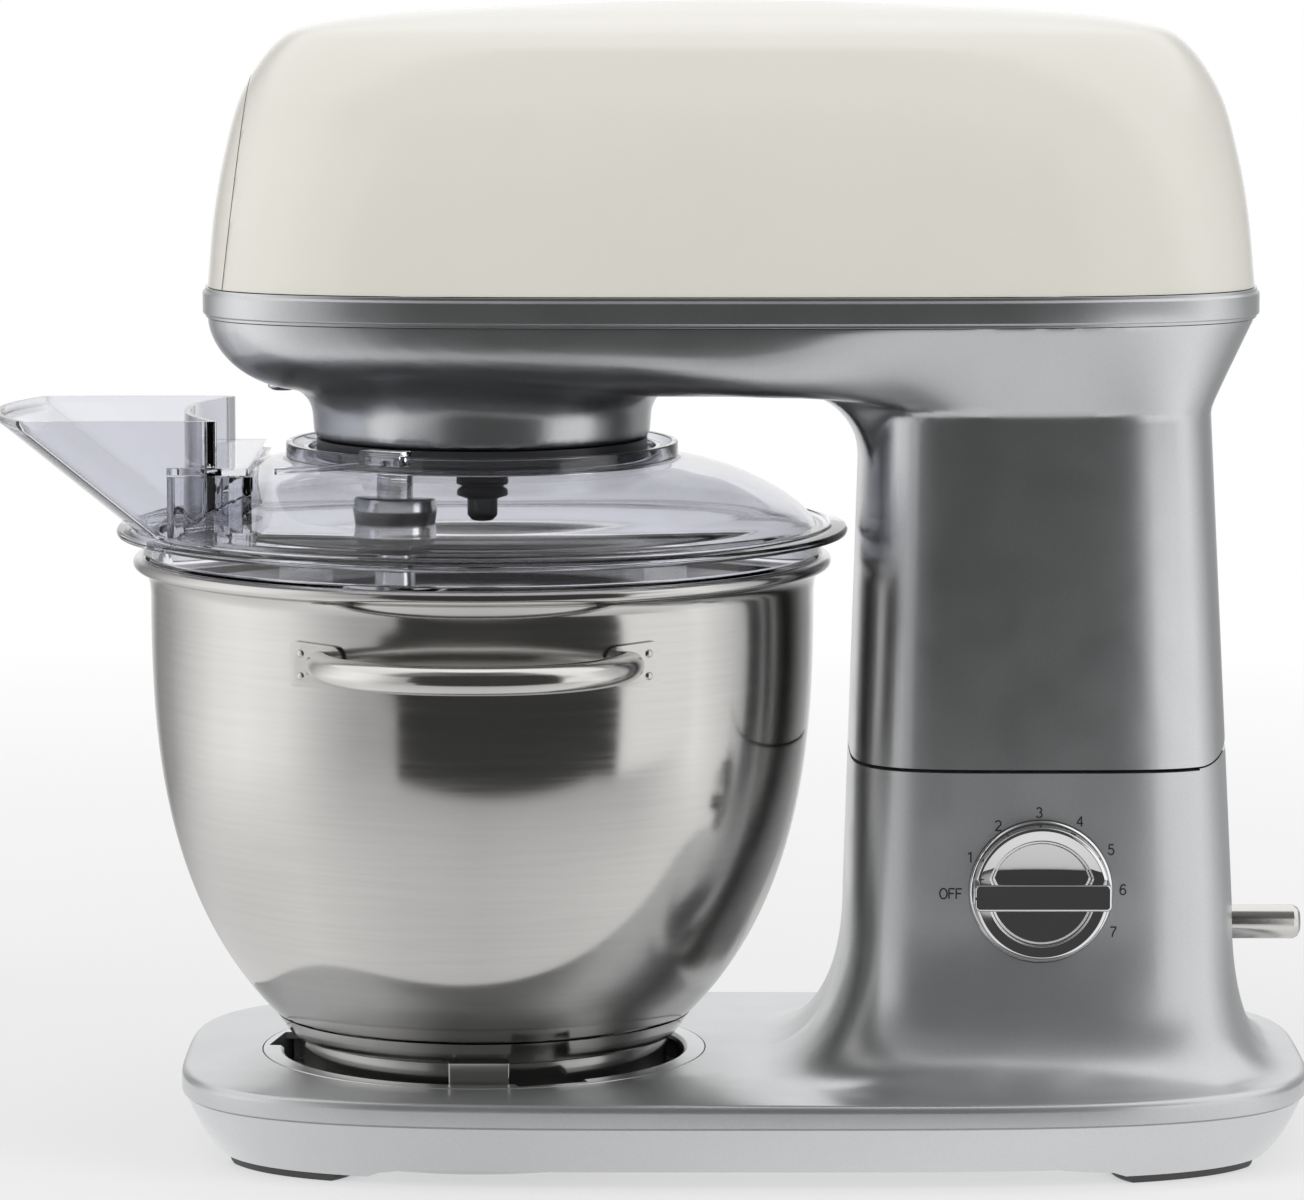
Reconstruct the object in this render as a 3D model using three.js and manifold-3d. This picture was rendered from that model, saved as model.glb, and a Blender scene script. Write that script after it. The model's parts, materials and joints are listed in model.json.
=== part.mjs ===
// A tilt-head planetary stand mixer, built as the real one comes apart on a bench.
// Millimetres, +Z up. The origin is on the table, under the axis of the bowl. The head points
// along -X, the column stands at +X, and the speed dial faces -Y.
import * as THREE from "three";
import { mergeVertices } from "three/addons/utils/BufferGeometryUtils.js";
import Module from "manifold-3d";

const wasm = await Module();
wasm.setup();

// ---- Clearances and walls ----
const GAP = 0.3; // between pieces that touch
const RUN = 0.5; // between pieces that turn or slide past each other
const SEAM = 1.2; // open line between the two halves of the column
const CAST_WALL = 3.2; // metal castings
const MOULD_WALL = 2.4; // moulded covers and tray
const CLEAR_WALL = 2.2; // lid and chute
const BOWL_WALL = 1.2;

// ---- Column: a slightly leaning rounded box that both castings share ----
const COLUMN_X = 184; // the castings are drawn outwards from this line
const COLUMN_FRONT = 122; // at the split
const COLUMN_REAR = 246; // at the split
const COLUMN_FRONT_LEAN = 0.031; // change of X per unit of height
const COLUMN_REAR_LEAN = -0.053;
const COLUMN_HALF_WIDTH = 55.3;
const COLUMN_POWER = 4.6;
const SPLIT_Z = 131; // underside of the upper half

// ---- Head ----
const HEAD_FRONT = -91.4;
const HEAD_REAR = 256;
const HEAD_HALF_WIDTH = 76;
const HEAD_POWER = 3.6;
const UNDERSIDE_Z = 250;
const BAND_Z = 276.3; // underside of the trim band
const BAND_HEIGHT = 9.7;
const BAND_PROUD = 1.6;
const COVER_HEIGHT = 92.7;
const SIDE_ROUND = 18; // along the bottom of the head's sides
const FRONT_ROUND = 28; // along the bottom of its front
const NECK_FILLET = 18; // between the underside and the front of the column
const NECK_DROP = 21; // height of that fillet
const SLOPE_END_Z = 247.5; // where the slope beside the column runs out
const CAP_SEAM_X = -83; // front cap's joint line, at the band
const CAP_SEAM_LEAN = 0.114; // change of X per unit of height

// ---- Nose and hub ----
const NOSE_Z = 235;
const NOSE_RADIUS = 55.5;
const CARRIER_INSET = 5.9; // from the nose's outside to the planet carrier's edge
const NOSE_SPREAD = 7; // fillet into the underside
const MOUNT_RING_Z = 228.3;
const CARRIER_HEIGHT = 5;

// ---- Tilt hinge ----
const KNUCKLE_RADIUS = 11; // round at the rear bottom corner of the upper half
const LIP_ANGLE = 45; // degrees of that round that the lower half follows
const HINGE_PIN_RADIUS = 3.5;
const EAR_RADIUS = 6.2;
const EAR_LEAN = 25; // degrees that the ears lean forwards, out of the swing of the slots
const EAR_INNER_Y = 14;
const EAR_THICKNESS = 7;
const LUG_THICKNESS = 6;

// ---- Base ----
const BASE_FRONT = -99.7;
const BASE_REAR = 273.3;
const BASE_HALF_WIDTH = 102;
const BASE_POWER = 3.7;
const DECK_Z = 29.3; // top of the base
const DECK_EDGE = 4; // round along its edge
const RIM_Z = 22; // bottom edge of the base casting
const FLARE_Z = 82; // the column starts to spread below this
const FLARE_REACH = 34;
const FLARE_SHARE = 0.68; // of the deck that the flare may take where the deck is narrow
const TRAY_Z = 6;
const LEG_Z = 2.6;
const CENTRE_FOOT_RADIUS = 70; // under the bowl's seat
const LEGS = [
  { x: -62, y: -62, pad: 23, pod: 36, spread: 48 },
  { x: -62, y: 62, pad: 23, pod: 36, spread: 48 },
  { x: 230, y: -66, pad: 25, pod: 27, spread: 48 },
  { x: 230, y: 66, pad: 25, pod: 27, spread: 48 },
];

// ---- Bowl, its seat and its handle ----
const BOWL_RADIUS = 110;
const BOWL_TOP_Z = 184; // end of the round wall, where the rim starts to spread
const BOWL_DEPTH_FORM = 170.2; // depth scale of the wall's curve
const BOWL_CURVE_POWER = 2.7;
const BOWL_BOTTOM_Z = 43.8; // where the wall meets the foot
const RIM_BEAD_Z = 194;
const RIM_BEAD_RADIUS = 113.5;
const BEAD_SIZE = 2.3;
const SEAT_RING_RADIUS = 74;
const SEAT_LIP = 7; // how far the ring's flange covers the lugs' track
const SEAT_MOUTH_RADIUS = SEAT_RING_RADIUS - SEAT_LIP;
const SEAT_DEPTH = 9.8;
const FOOT_PLAY = 2; // round the bowl's foot in the seat's mouth
const FOOT_BAND_RADIUS = SEAT_MOUTH_RADIUS - FOOT_PLAY;
const FOOT_BAND_Z = 36.5;
const LUG_WIDTH = 20;
const LUG_REACH = SEAT_RING_RADIUS - 3.4;
const LUG_COUNT = 3;
const TWIST_ANGLE = 20; // degrees from locked to free
const HANDLE_Z = 171;
const HANDLE_TUBE = 4.6;
const HANDLE_STANDS = 27.4; // from the bowl's wall to the middle of the tube
const HANDLE_REACH = BOWL_RADIUS + HANDLE_STANDS;
const HANDLE_ANGLE = 26.5; // degrees from the front of the bowl to each end of the tube

// ---- Lid and chute ----
const LID_OVERHANG = 5.5; // past the bowl's rim
const LID_RADIUS = RIM_BEAD_RADIUS + BEAD_SIZE + LID_OVERHANG;
const LID_FLANGE_Z = 203;
const LID_COLLAR_RADIUS = NOSE_RADIUS + 9.5;
const LID_COLLAR_TOP = 233.5;
const LID_SKIRT_Z = 197;
const CHUTE_TIP = -161; // front of the chute's rim
const CHUTE_HALF_WIDTH = 48.5;
const CHUTE_FRONT_ROUND = 102; // radius of the front wall in plan
const CHUTE_BACK_ROUND = 96.5; // radius of the hollow back wall, about the bowl's axis
const CHUTE_SLOPE = 0.81; // fall of the chute's front per unit of length
const CHUTE_RIM_Z = 242; // where the slope starts
const CHUTE_TOP = 244;
const CHUTE_BOTTOM = 201;
const CHUTE_CORNER = 5.5;
const SOCKET_FRONT = -101; // the lid's inlet, which the chute drops into
const SOCKET_REAR = -73;
const SOCKET_HALF_WIDTH = 52;
const SOCKET_TOP = 226.2;
const STRAP_WIDTH = 5;
const STRAP_ROOT = 88; // from the bowl's axis, inside the lip
const STRAP_START = 30; // degrees off the chute's middle line
const STRAP_END = 64;

// ---- Planetary drive ----
const RING_WALL = 5.9625; // of the ring gear, behind its teeth
const RING_TEETH = 36;
const PLANET_TEETH = 12;
const MAIN_TEETH = 36;
const PINION_TEETH = 12;
const MAIN_MODULE = 1.75;
const WHEEL_TEETH = 24;
const WORM_STARTS = 4;
const WORM_MODULE = 1.5;
const WORM_RADIUS = 8;
const PRESSURE_ANGLE = 25; // degrees
const TOOTH_PLAY = 0.5; // play between flanks in mesh
const ADDENDUM = 0.8; // of the module
const DEDENDUM = 1.05;
const MAIN_SHAFT_RADIUS = 7;
const BEATER_SHAFT_RADIUS = 6;
const COUNTER_SHAFT_RADIUS = 5;
const MOTOR_SHAFT_RADIUS = 5;
const STATOR_BORE = 25;
const STATOR_HALF_WIDTH = 36;

// ---- Dial and release lever ----
const DIAL_X = 182.9;
const DIAL_Z = 91.2;
const DIAL_RADIUS = 22.5;
const DIAL_RING_WIDTH = 5.8;
const GRIP_WIDTH = 8.5;
const GRIP_HEIGHT = 18;
const LEVER_Z = 71.7;
const LEVER_PIVOT_X = 222;
const LEVER_END_X = 273;
const LEVER_RADIUS = 5.7;
const LEVER_SWING = 14; // degrees

// ---- Cuts and steps ----
const THROUGH = 95; // half-length of a cut that goes right through a casting
const OUTLINE_STEPS = 17; // points taken from each of the two outlines of a casting
const COVER_STEPS = 36;
const ROUND_STEPS = 32; // bowl and lid
const PART_STEPS = 16; // small round pieces
const ARC_STEPS = 3; // points along a fillet

// ---- Values that follow ----
const TURN = Math.PI * 2;
const radians = THREE.MathUtils.degToRad;
const COVER_Z = BAND_Z + BAND_HEIGHT + GAP;
const PIVOT_X = COLUMN_REAR - KNUCKLE_RADIUS;
const PIVOT_Z = SPLIT_Z + KNUCKLE_RADIUS;
const LOWER_TOP_Z = SPLIT_Z - SEAM;
const HEAD_FLOOR_Z = UNDERSIDE_Z + CAST_WALL;
const NOSE_BORE = NOSE_RADIUS - CAST_WALL;
const PLANET_MODULE = (NOSE_BORE - GAP - RING_WALL) / (RING_TEETH / 2 + DEDENDUM);
const OFFSET = (PLANET_MODULE * (RING_TEETH - PLANET_TEETH)) / 2; // bowl's axis to beater's
const FRAME_Z = HEAD_FLOOR_Z + GAP;
const FRAME_PLATE = 5;
const GEAR_Z = FRAME_Z + FRAME_PLATE + 3.5; // underside of the spur pair
const SPUR_FACE = 8;
const BRIDGE_Z = GEAR_Z + SPUR_FACE + 4;
const BRIDGE_PLATE = 4;
const MOTOR_Z = FRAME_Z + FRAME_PLATE + GAP + 34.2;
const WHEEL_RADIUS = (WORM_MODULE * WHEEL_TEETH) / 2;
const SPUR_CENTRES = (MAIN_MODULE * (MAIN_TEETH + PINION_TEETH)) / 2;
const COUNTER_Y = WORM_RADIUS + WHEEL_RADIUS;
const COUNTER_X = Math.sqrt(SPUR_CENTRES ** 2 - COUNTER_Y ** 2);
const COUNTER_ANGLE = Math.atan2(COUNTER_Y, COUNTER_X);
const SEAT_FLOOR_Z = DECK_Z - SEAT_DEPTH;

// ---- Solids from three.js geometry ----
function solidFrom(geometry) {
  const bare = geometry.index ? geometry.toNonIndexed() : geometry.clone();
  bare.deleteAttribute("normal");
  bare.deleteAttribute("uv");
  const merged = mergeVertices(bare, 1e-4);
  const vertProperties = merged.attributes.position.array;
  const triVerts = new Uint32Array(merged.index.array);
  const made = new wasm.Manifold(new wasm.Mesh({ numProp: 3, vertProperties, triVerts }));
  if (made.volume() >= 0) return made;
  for (let i = 0; i < triVerts.length; i += 3) {
    [triVerts[i + 1], triVerts[i + 2]] = [triVerts[i + 2], triVerts[i + 1]];
  }
  return new wasm.Manifold(new wasm.Mesh({ numProp: 3, vertProperties, triVerts }));
}

function geometryFrom(solid) {
  const mesh = solid.getMesh();
  const shared = new THREE.BufferGeometry();
  shared.setAttribute("position", new THREE.BufferAttribute(new Float32Array(mesh.vertProperties), 3));
  shared.setIndex(new THREE.BufferAttribute(new Uint32Array(mesh.triVerts), 1));
  const faceted = shared.toNonIndexed();
  faceted.computeVertexNormals();
  return faceted;
}

const joined = (...solids) => solids.reduce((whole, next) => whole.add(next));
const cut = (whole, ...tools) => tools.reduce((left, tool) => left.subtract(tool), whole);

function box(x0, x1, y0, y1, z0, z1) {
  const block = new THREE.BoxGeometry(x1 - x0, y1 - y0, z1 - z0);
  return solidFrom(block.translate((x0 + x1) / 2, (y0 + y1) / 2, (z0 + z1) / 2));
}

// A round bar or hole along X, Y or Z. centre holds the other two coordinates, in X, Y, Z order.
function drum(axis, radius, from, to, centre = [0, 0], steps = PART_STEPS) {
  const bar = new THREE.CylinderGeometry(radius, radius, to - from, steps);
  const middle = (from + to) / 2;
  if (axis === "x") bar.rotateZ(Math.PI / 2).translate(middle, centre[0], centre[1]);
  if (axis === "y") bar.translate(centre[0], middle, centre[1]);
  if (axis === "z") bar.rotateX(Math.PI / 2).translate(centre[0], centre[1], middle);
  return solidFrom(bar);
}

// A solid of revolution about Z, from [radius, z] points that close on themselves or on the axis.
function revolve(points, steps = ROUND_STEPS) {
  const profile = points.map(([r, z]) => new THREE.Vector2(r, z));
  if (points[0][0] > 0) profile.push(profile[0].clone());
  return solidFrom(new THREE.LatheGeometry(profile, steps).rotateX(Math.PI / 2));
}

// A flat outline given in X and Z, as thick as from y0 to y1.
function plateXZ(shape, y0, y1, curveSegments = 6) {
  const slab = new THREE.ExtrudeGeometry(shape, { depth: y1 - y0, bevelEnabled: false, curveSegments });
  return solidFrom(slab.rotateX(Math.PI / 2).translate(0, y1, 0));
}

function plateXY(shape, z0, z1, curveSegments = 6) {
  const slab = new THREE.ExtrudeGeometry(shape, { depth: z1 - z0, bevelEnabled: false, curveSegments });
  return solidFrom(slab.translate(0, 0, z0));
}

const outlineOf = (points) => new THREE.Shape(points.map(([x, y]) => new THREE.Vector2(x, y)));

// A skin through rings of equal point count. It either closes on itself or ends in two fans.
function skin(rings, wrap = false) {
  const count = rings[0].length;
  const points = rings.flat();
  const index = [];
  const spans = wrap ? rings.length : rings.length - 1;
  for (let k = 0; k < spans; k++) {
    const a = k * count;
    const b = ((k + 1) % rings.length) * count;
    for (let i = 0; i < count; i++) {
      const j = (i + 1) % count;
      index.push(a + i, a + j, b + j, a + i, b + j, b + i);
    }
  }
  if (!wrap) {
    for (const [k, turned] of [[0, true], [rings.length - 1, false]]) {
      const centre = new THREE.Vector3();
      rings[k].forEach((p) => centre.addScaledVector(p, 1 / count));
      const hub = points.push(centre) - 1;
      for (let i = 0; i < count; i++) {
        const edge = [k * count + i, k * count + ((i + 1) % count)];
        index.push(hub, ...(turned ? edge.reverse() : edge));
      }
    }
  }
  const geometry = new THREE.BufferGeometry().setFromPoints(points);
  geometry.setIndex(index);
  return solidFrom(geometry);
}

// ---- Rounded-rectangle outlines with their long axis on X ----
const oval = (front, rear, halfWidth, power) => ({ front, rear, halfWidth, power });
const shrunk = (shape, d) => oval(shape.front + d, shape.rear - d, shape.halfWidth - d, shape.power);

// Distance from (COLUMN_X, 0) to the outline in a direction, found by halving.
function reach(shape, angle) {
  const middle = (shape.front + shape.rear) / 2;
  const half = (shape.rear - shape.front) / 2;
  let near = 0;
  let far = 3 * half;
  for (let i = 0; i < 44; i++) {
    const r = (near + far) / 2;
    const x = Math.abs(COLUMN_X + r * Math.cos(angle) - middle) / half;
    const y = Math.abs(r * Math.sin(angle)) / shape.halfWidth;
    if (x ** shape.power + y ** shape.power > 1) far = r;
    else near = r;
  }
  return near;
}

// Points evenly spaced along the outline, starting at the rear.
function ovalPoints(shape, count) {
  const fine = 1440;
  const middle = (shape.front + shape.rear) / 2;
  const half = (shape.rear - shape.front) / 2;
  const bend = (c) => Math.sign(c) * Math.abs(c) ** (2 / shape.power);
  const at = (i) => {
    const t = (i / fine) * TURN;
    return new THREE.Vector2(middle + half * bend(Math.cos(t)), shape.halfWidth * bend(Math.sin(t)));
  };
  const lengths = [0];
  for (let i = 1; i <= fine; i++) lengths.push(lengths[i - 1] + at(i).distanceTo(at(i - 1)));
  return Array.from({ length: count }, (_, k) => {
    const wanted = (lengths[fine] * k) / count;
    const i = lengths.findIndex((length) => length >= wanted - 1e-9);
    return at(i);
  });
}

const ring = (shape, count, z) => ovalPoints(shape, count).map((p) => new THREE.Vector3(p.x, p.y, z));

// Directions, seen from the column, that follow both the column and a wide outline round it.
function directions(wide) {
  const narrow = columnAt(SPLIT_Z);
  const seen = [wide, narrow].flatMap((shape) =>
    ovalPoints(shape, OUTLINE_STEPS).map((p) => (Math.atan2(p.y, p.x - COLUMN_X) + TURN) % TURN),
  );
  seen.sort((a, b) => a - b);
  const closest = radians(2);
  return seen.filter((angle, i) => i === 0 || angle - seen[i - 1] > closest);
}

function columnAt(z, d = 0) {
  const up = z - SPLIT_Z;
  const front = COLUMN_FRONT + COLUMN_FRONT_LEAN * up;
  const rear = COLUMN_REAR + COLUMN_REAR_LEAN * up;
  return shrunk(oval(front, rear, COLUMN_HALF_WIDTH, COLUMN_POWER), d);
}

// Turns [distance, z] profiles, one per direction, into the skin of a casting.
function casting(wide, profile) {
  const rings = directions(wide).map((angle) =>
    profile(angle).map(
      ([r, z]) => new THREE.Vector3(COLUMN_X + r * Math.cos(angle), r * Math.sin(angle), z),
    ),
  );
  return skin(rings, true);
}

// The same casting without its hollow, to trim what is cast onto the inside of its wall.
function core(wide, profile) {
  const sides = directions(wide).map((angle) => profile(angle).map(([r, z]) => [angle, r, z]));
  const rings = sides[0].map((_, k) =>
    sides.map((side) => {
      const [angle, r, z] = side[k];
      return new THREE.Vector3(COLUMN_X + r * Math.cos(angle), r * Math.sin(angle), z);
    }),
  );
  return skin(rings);
}

// ---- Arm casting: head shell, nose and the upper half of the column ----
const HEAD_SHELL = oval(HEAD_FRONT, HEAD_REAR, HEAD_HALF_WIDTH, HEAD_POWER);

// A straight slope from 0 to 1 with eased ends.
function eased(t) {
  const end = 0.2;
  if (t < end) return t ** 2 / (2 * end * (1 - end));
  if (t > 1 - end) return 1 - (1 - t) ** 2 / (2 * end * (1 - end));
  return (t - end / 2) / (1 - end);
}

// One side of the arm's wall, from the band down to the split, inset by d. Over the bowl
// it turns under to a flat underside; beside the column it slopes straight in to it.
function armSide(angle, d) {
  const top = BAND_Z - GAP;
  const wide = reach(shrunk(HEAD_SHELL, d), angle);
  const neckZ = UNDERSIDE_Z - NECK_DROP;
  const neck = reach(columnAt(neckZ, d), angle);
  const spread = wide - neck;
  const beside = THREE.MathUtils.clamp(1 - (spread - 20) / 60, 0, 1);
  const ahead = THREE.MathUtils.clamp((-Math.cos(angle) - 0.955) / 0.045, 0, 1);
  const round = THREE.MathUtils.lerp(SIDE_ROUND, FRONT_ROUND, ahead ** 2);
  const fillet = Math.min(NECK_FILLET, spread / 2);
  const under = UNDERSIDE_Z + d;
  const turned = [];
  for (let k = 0; k <= ARC_STEPS; k++) {
    const a = (k / ARC_STEPS) * (Math.PI / 2);
    const r = reach(shrunk(HEAD_SHELL, d + round * (1 - Math.cos(a))), angle);
    turned.push([r, under + (top - under) * (1 - Math.sin(a))]);
  }
  for (let k = 0; k <= ARC_STEPS; k++) {
    const a = (k / ARC_STEPS) * (Math.PI / 2);
    turned.push([neck + fillet * (1 - Math.sin(a)), under - (under - neckZ) * (1 - Math.cos(a))]);
  }
  const points = turned.map(([r, z], i) => {
    const t = i / (turned.length - 1);
    const slope = [wide - spread * eased(t), top - (top - SLOPE_END_Z) * t];
    return [THREE.MathUtils.lerp(r, slope[0], beside), THREE.MathUtils.lerp(z, slope[1], beside)];
  });
  points.push([reach(columnAt(SPLIT_Z, d), angle), SPLIT_Z]);
  return points;
}

// What the upper half loses at its rear bottom corner so that it can swing.
function knuckleWaste(radius) {
  const corner = box(PIVOT_X, PIVOT_X + 40, -THROUGH, THROUGH, SPLIT_Z - 20, PIVOT_Z);
  return corner.subtract(drum("y", radius, -THROUGH - 1, THROUGH + 1, [PIVOT_X, PIVOT_Z], 48));
}

function armCasting() {
  const shell = casting(HEAD_SHELL, (angle) => [
    ...armSide(angle, 0),
    ...armSide(angle, CAST_WALL).reverse(),
  ]);
  // The floor of the upper half, with the round that swings over the lower half's lip.
  const plugRings = (d, z0, z1) => [z0, z1].map((z) => ring(columnAt(z, d), 32, z));
  const plug = skin(plugRings(CAST_WALL / 2, SPLIT_Z, PIVOT_Z + 6));
  const hollow = cut(
    box(COLUMN_FRONT - 5, COLUMN_REAR + 5, -THROUGH, THROUGH, SPLIT_Z + CAST_WALL, PIVOT_Z + 20),
    knuckleWaste(KNUCKLE_RADIUS - CAST_WALL),
  );
  const lugs = [-1, 1].map((side) => {
    const y = side * (EAR_INNER_Y + EAR_THICKNESS + GAP + LUG_THICKNESS / 2);
    const half = LUG_THICKNESS / 2;
    const block = box(PIVOT_X - 8, COLUMN_REAR - 2, y - half, y + half, SPLIT_Z + 1, PIVOT_Z + 8);
    return block.subtract(drum("y", HINGE_PIN_RADIUS + GAP, -60, 60, [PIVOT_X, PIVOT_Z]));
  });
  const slots = [-1, 1].map((side) => {
    const y = side * (EAR_INNER_Y + EAR_THICKNESS / 2);
    const half = EAR_THICKNESS / 2 + GAP;
    return box(PIVOT_X - 10, PIVOT_X + 9.4, y - half, y + half, SPLIT_Z - 2, SPLIT_Z + 5);
  });
  const noseOpening = drum("z", NOSE_BORE, NOSE_Z - 5, HEAD_FLOOR_Z + 5, [0, 0], ROUND_STEPS);
  const nose = revolve([
    [NOSE_BORE, NOSE_Z],
    [NOSE_RADIUS, NOSE_Z],
    [NOSE_RADIUS + 1.5, NOSE_Z + 8],
    [NOSE_RADIUS + 2.4, UNDERSIDE_Z - 2.6],
    [NOSE_RADIUS + 4.4, UNDERSIDE_Z - 0.9],
    [NOSE_RADIUS + NOSE_SPREAD, UNDERSIDE_Z + 0.2],
    [NOSE_RADIUS + NOSE_SPREAD, UNDERSIDE_Z + 1],
    [NOSE_BORE, UNDERSIDE_Z + 1],
  ]);
  const whole = joined(shell, plug.subtract(hollow), ...lugs);
  const fittingHole = CAP_FITTING_RADIUS + GAP;
  const fitting = drum("z", fittingHole, UNDERSIDE_Z - 5, HEAD_FLOOR_Z + 5, [CAP_FITTING_X, 0]);
  return cut(joined(cut(whole, noseOpening), nose), knuckleWaste(KNUCKLE_RADIUS), fitting, ...slots);
}

// ---- Base casting: lower half of the column, deck and rim ----
const BASE_RIM = oval(BASE_FRONT, BASE_REAR, BASE_HALF_WIDTH, BASE_POWER);

function baseSide(angle, d) {
  const lipTop = PIVOT_Z - KNUCKLE_RADIUS * Math.sin(radians(LIP_ANGLE));
  const wide = reach(shrunk(BASE_RIM, d), angle);
  const neck = reach(columnAt(FLARE_Z, d), angle);
  const flare = Math.min(FLARE_REACH, FLARE_SHARE * (wide - neck));
  const deck = DECK_Z - d;
  const points = [[reach(columnAt(lipTop, d), angle), lipTop]];
  for (let k = 0; k <= ARC_STEPS; k++) {
    const a = (k / ARC_STEPS) * (Math.PI / 2);
    points.push([neck + flare * (1 - Math.cos(a)), FLARE_Z - (FLARE_Z - deck) * Math.sin(a)]);
  }
  for (let k = 0; k <= 2; k++) {
    const a = (k / 2) * (Math.PI / 2);
    points.push([wide - DECK_EDGE * (1 - Math.sin(a)), deck - DECK_EDGE * 0.9 * (1 - Math.cos(a))]);
  }
  points.push([wide, RIM_Z]);
  return points;
}

function baseCasting() {
  const shell = casting(BASE_RIM, (angle) => [
    ...baseSide(angle, 0),
    ...baseSide(angle, CAST_WALL).reverse(),
  ]);
  // The plate that closes the top of the lower half, below the upper half's floor.
  const plateZ = LOWER_TOP_Z - CAST_WALL;
  const topPlate = skin([plateZ, LOWER_TOP_Z].map((z) => ring(columnAt(z, CAST_WALL / 2), 32, z)));
  const swing = [
    box(COLUMN_FRONT - 10, PIVOT_X, -THROUGH, THROUGH, LOWER_TOP_Z, SPLIT_Z + 30),
    drum("y", KNUCKLE_RADIUS + SEAM / 2, -THROUGH, THROUGH, [PIVOT_X, PIVOT_Z], 48),
  ];
  const earSlots = [-1, 1].map((side) => {
    const y = side * (EAR_INNER_Y + EAR_THICKNESS / 2);
    const half = EAR_THICKNESS / 2 + GAP;
    return box(PIVOT_X - 18, PIVOT_X + 2, y - half, y + half, plateZ - 1, LOWER_TOP_Z + 1);
  });
  const strikerSlot = box(STRIKER_X - 18, STRIKER_X + 9, -12, 12, plateZ - 1, LOWER_TOP_Z + 1);
  const seat = drum("z", SEAT_RING_RADIUS + GAP, RIM_Z - 5, DECK_Z + 5, [0, 0], ROUND_STEPS);
  const dialPocket = drum("y", DIAL_RADIUS + GAP, -70, DIAL_FACE_Y, [DIAL_X, DIAL_Z], 32);
  const dialHole = drum("y", DIAL_SHAFT_RADIUS + RUN, -70, -40, [DIAL_X, DIAL_Z]);
  const drop = (LEVER_END_X - LEVER_PIVOT_X) * Math.sin(radians(LEVER_SWING)) * 0.6;
  const slotHalf = LEVER_RADIUS + RUN;
  const slotFrom = LEVER_PIVOT_X + 3;
  const slotTo = LEVER_END_X - 8;
  const leverSlot = joined(
    drum("x", slotHalf, slotFrom, slotTo, [0, LEVER_Z]),
    drum("x", slotHalf, slotFrom, slotTo, [0, LEVER_Z - drop]),
    box(slotFrom, slotTo, -slotHalf, slotHalf, LEVER_Z - drop, LEVER_Z),
  );
  const boardPosts = BOARD_POSTS.map(([x, z]) =>
    drum("y", 3, BOARD_Y + BOARD_THICKNESS + GAP, COLUMN_HALF_WIDTH + 10, [x, z], 8),
  );
  const leverPosts = [-1, 1].map(leverPost);
  const inside = core(BASE_RIM, (angle) => baseSide(angle, CAST_WALL / 2));
  const posts = joined(...boardPosts, ...leverPosts).intersect(inside);
  const body = joined(shell, topPlate, posts);
  return cut(body, ...swing, ...earSlots, strikerSlot, seat, dialPocket, dialHole, leverSlot);
}

// Posts on the side walls that the lever's pin is held between.
const LEVER_POST_Y = 12;
const LEVER_POST_RADIUS = 7;
function leverPost(side) {
  const inner = side * LEVER_POST_Y;
  const outer = side * (COLUMN_HALF_WIDTH + 5);
  const centre = [LEVER_PIVOT_X, LEVER_Z];
  const [from, to] = side > 0 ? [inner, outer] : [outer, inner];
  const post = drum("y", LEVER_POST_RADIUS, from, to, centre);
  const depth = LEVER_PIN_HALF + GAP;
  return post.subtract(drum("y", LEVER_PIN_RADIUS + GAP, -depth, depth, centre));
}

// ---- Tray and feet ----
function trayCore(d, levels) {
  return skin(levels.map(([z, inset]) => ring(shrunk(BASE_RIM, inset + d), COVER_STEPS, z)));
}

// Each leg is a spread cone, trimmed to the tray's own outline and clear of the centre foot.
function leg({ x, y, pod, spread }) {
  const cone = new THREE.CylinderGeometry(spread, pod, TRAY_Z + 1 - LEG_Z, 24);
  return solidFrom(cone.rotateX(Math.PI / 2).translate(x, y, (TRAY_Z + 1 + LEG_Z) / 2));
}

function baseTray() {
  const outer = trayCore(0, [[RIM_Z - GAP, 0.6], [14, 2], [8, 4.4], [LEG_Z, 8]]);
  const under = box(BASE_FRONT, BASE_REAR, -BASE_HALF_WIDTH, BASE_HALF_WIDTH, LEG_Z - 1, TRAY_Z);
  const arches = cut(under, ...LEGS.map(leg));
  const hollow = trayCore(MOULD_WALL, [[RIM_Z + 1, 0.6], [14, 2], [TRAY_Z + MOULD_WALL, 4.8]]);
  const well = drum("z", CENTRE_FOOT_RADIUS + GAP, LEG_Z - 1, TRAY_Z, [0, 0], ROUND_STEPS);
  const glandHole = drum("x", GLAND_RADIUS + GAP, BASE_REAR - 20, BASE_REAR + 5, [GLAND_Y, GLAND_Z]);
  return cut(outer, arches, hollow, well, glandHole);
}

function cordGland() {
  const angle = Math.atan2(GLAND_Y, BASE_REAR - COLUMN_X);
  const face = COLUMN_X + reach(shrunk(BASE_RIM, 2), angle) * Math.cos(angle);
  const profile = [
    [3, face - 8],
    [GLAND_RADIUS, face - 8],
    [GLAND_RADIUS, face],
    [GLAND_RADIUS - 0.7, face + 1.4],
    [3, face + 1.4],
  ];
  return revolve(profile, PART_STEPS).rotate([0, 90, 0]).translate([0, GLAND_Y, GLAND_Z]);
}

const GLAND_RADIUS = 4.6;
const GLAND_Y = 40;
const GLAND_Z = 15;

// Rubber pads under the legs, cut to the tray's outline at the corners.
function cornerPad({ x, y, pad }) {
  const disc = drum("z", pad, 0, LEG_Z - GAP, [x, y], 24);
  const clear = drum("z", CENTRE_FOOT_RADIUS + GAP, -1, LEG_Z, [0, 0], ROUND_STEPS);
  return disc.intersect(trayCore(0, [[LEG_Z, 8.8], [0, 9.8]])).subtract(clear);
}

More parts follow.
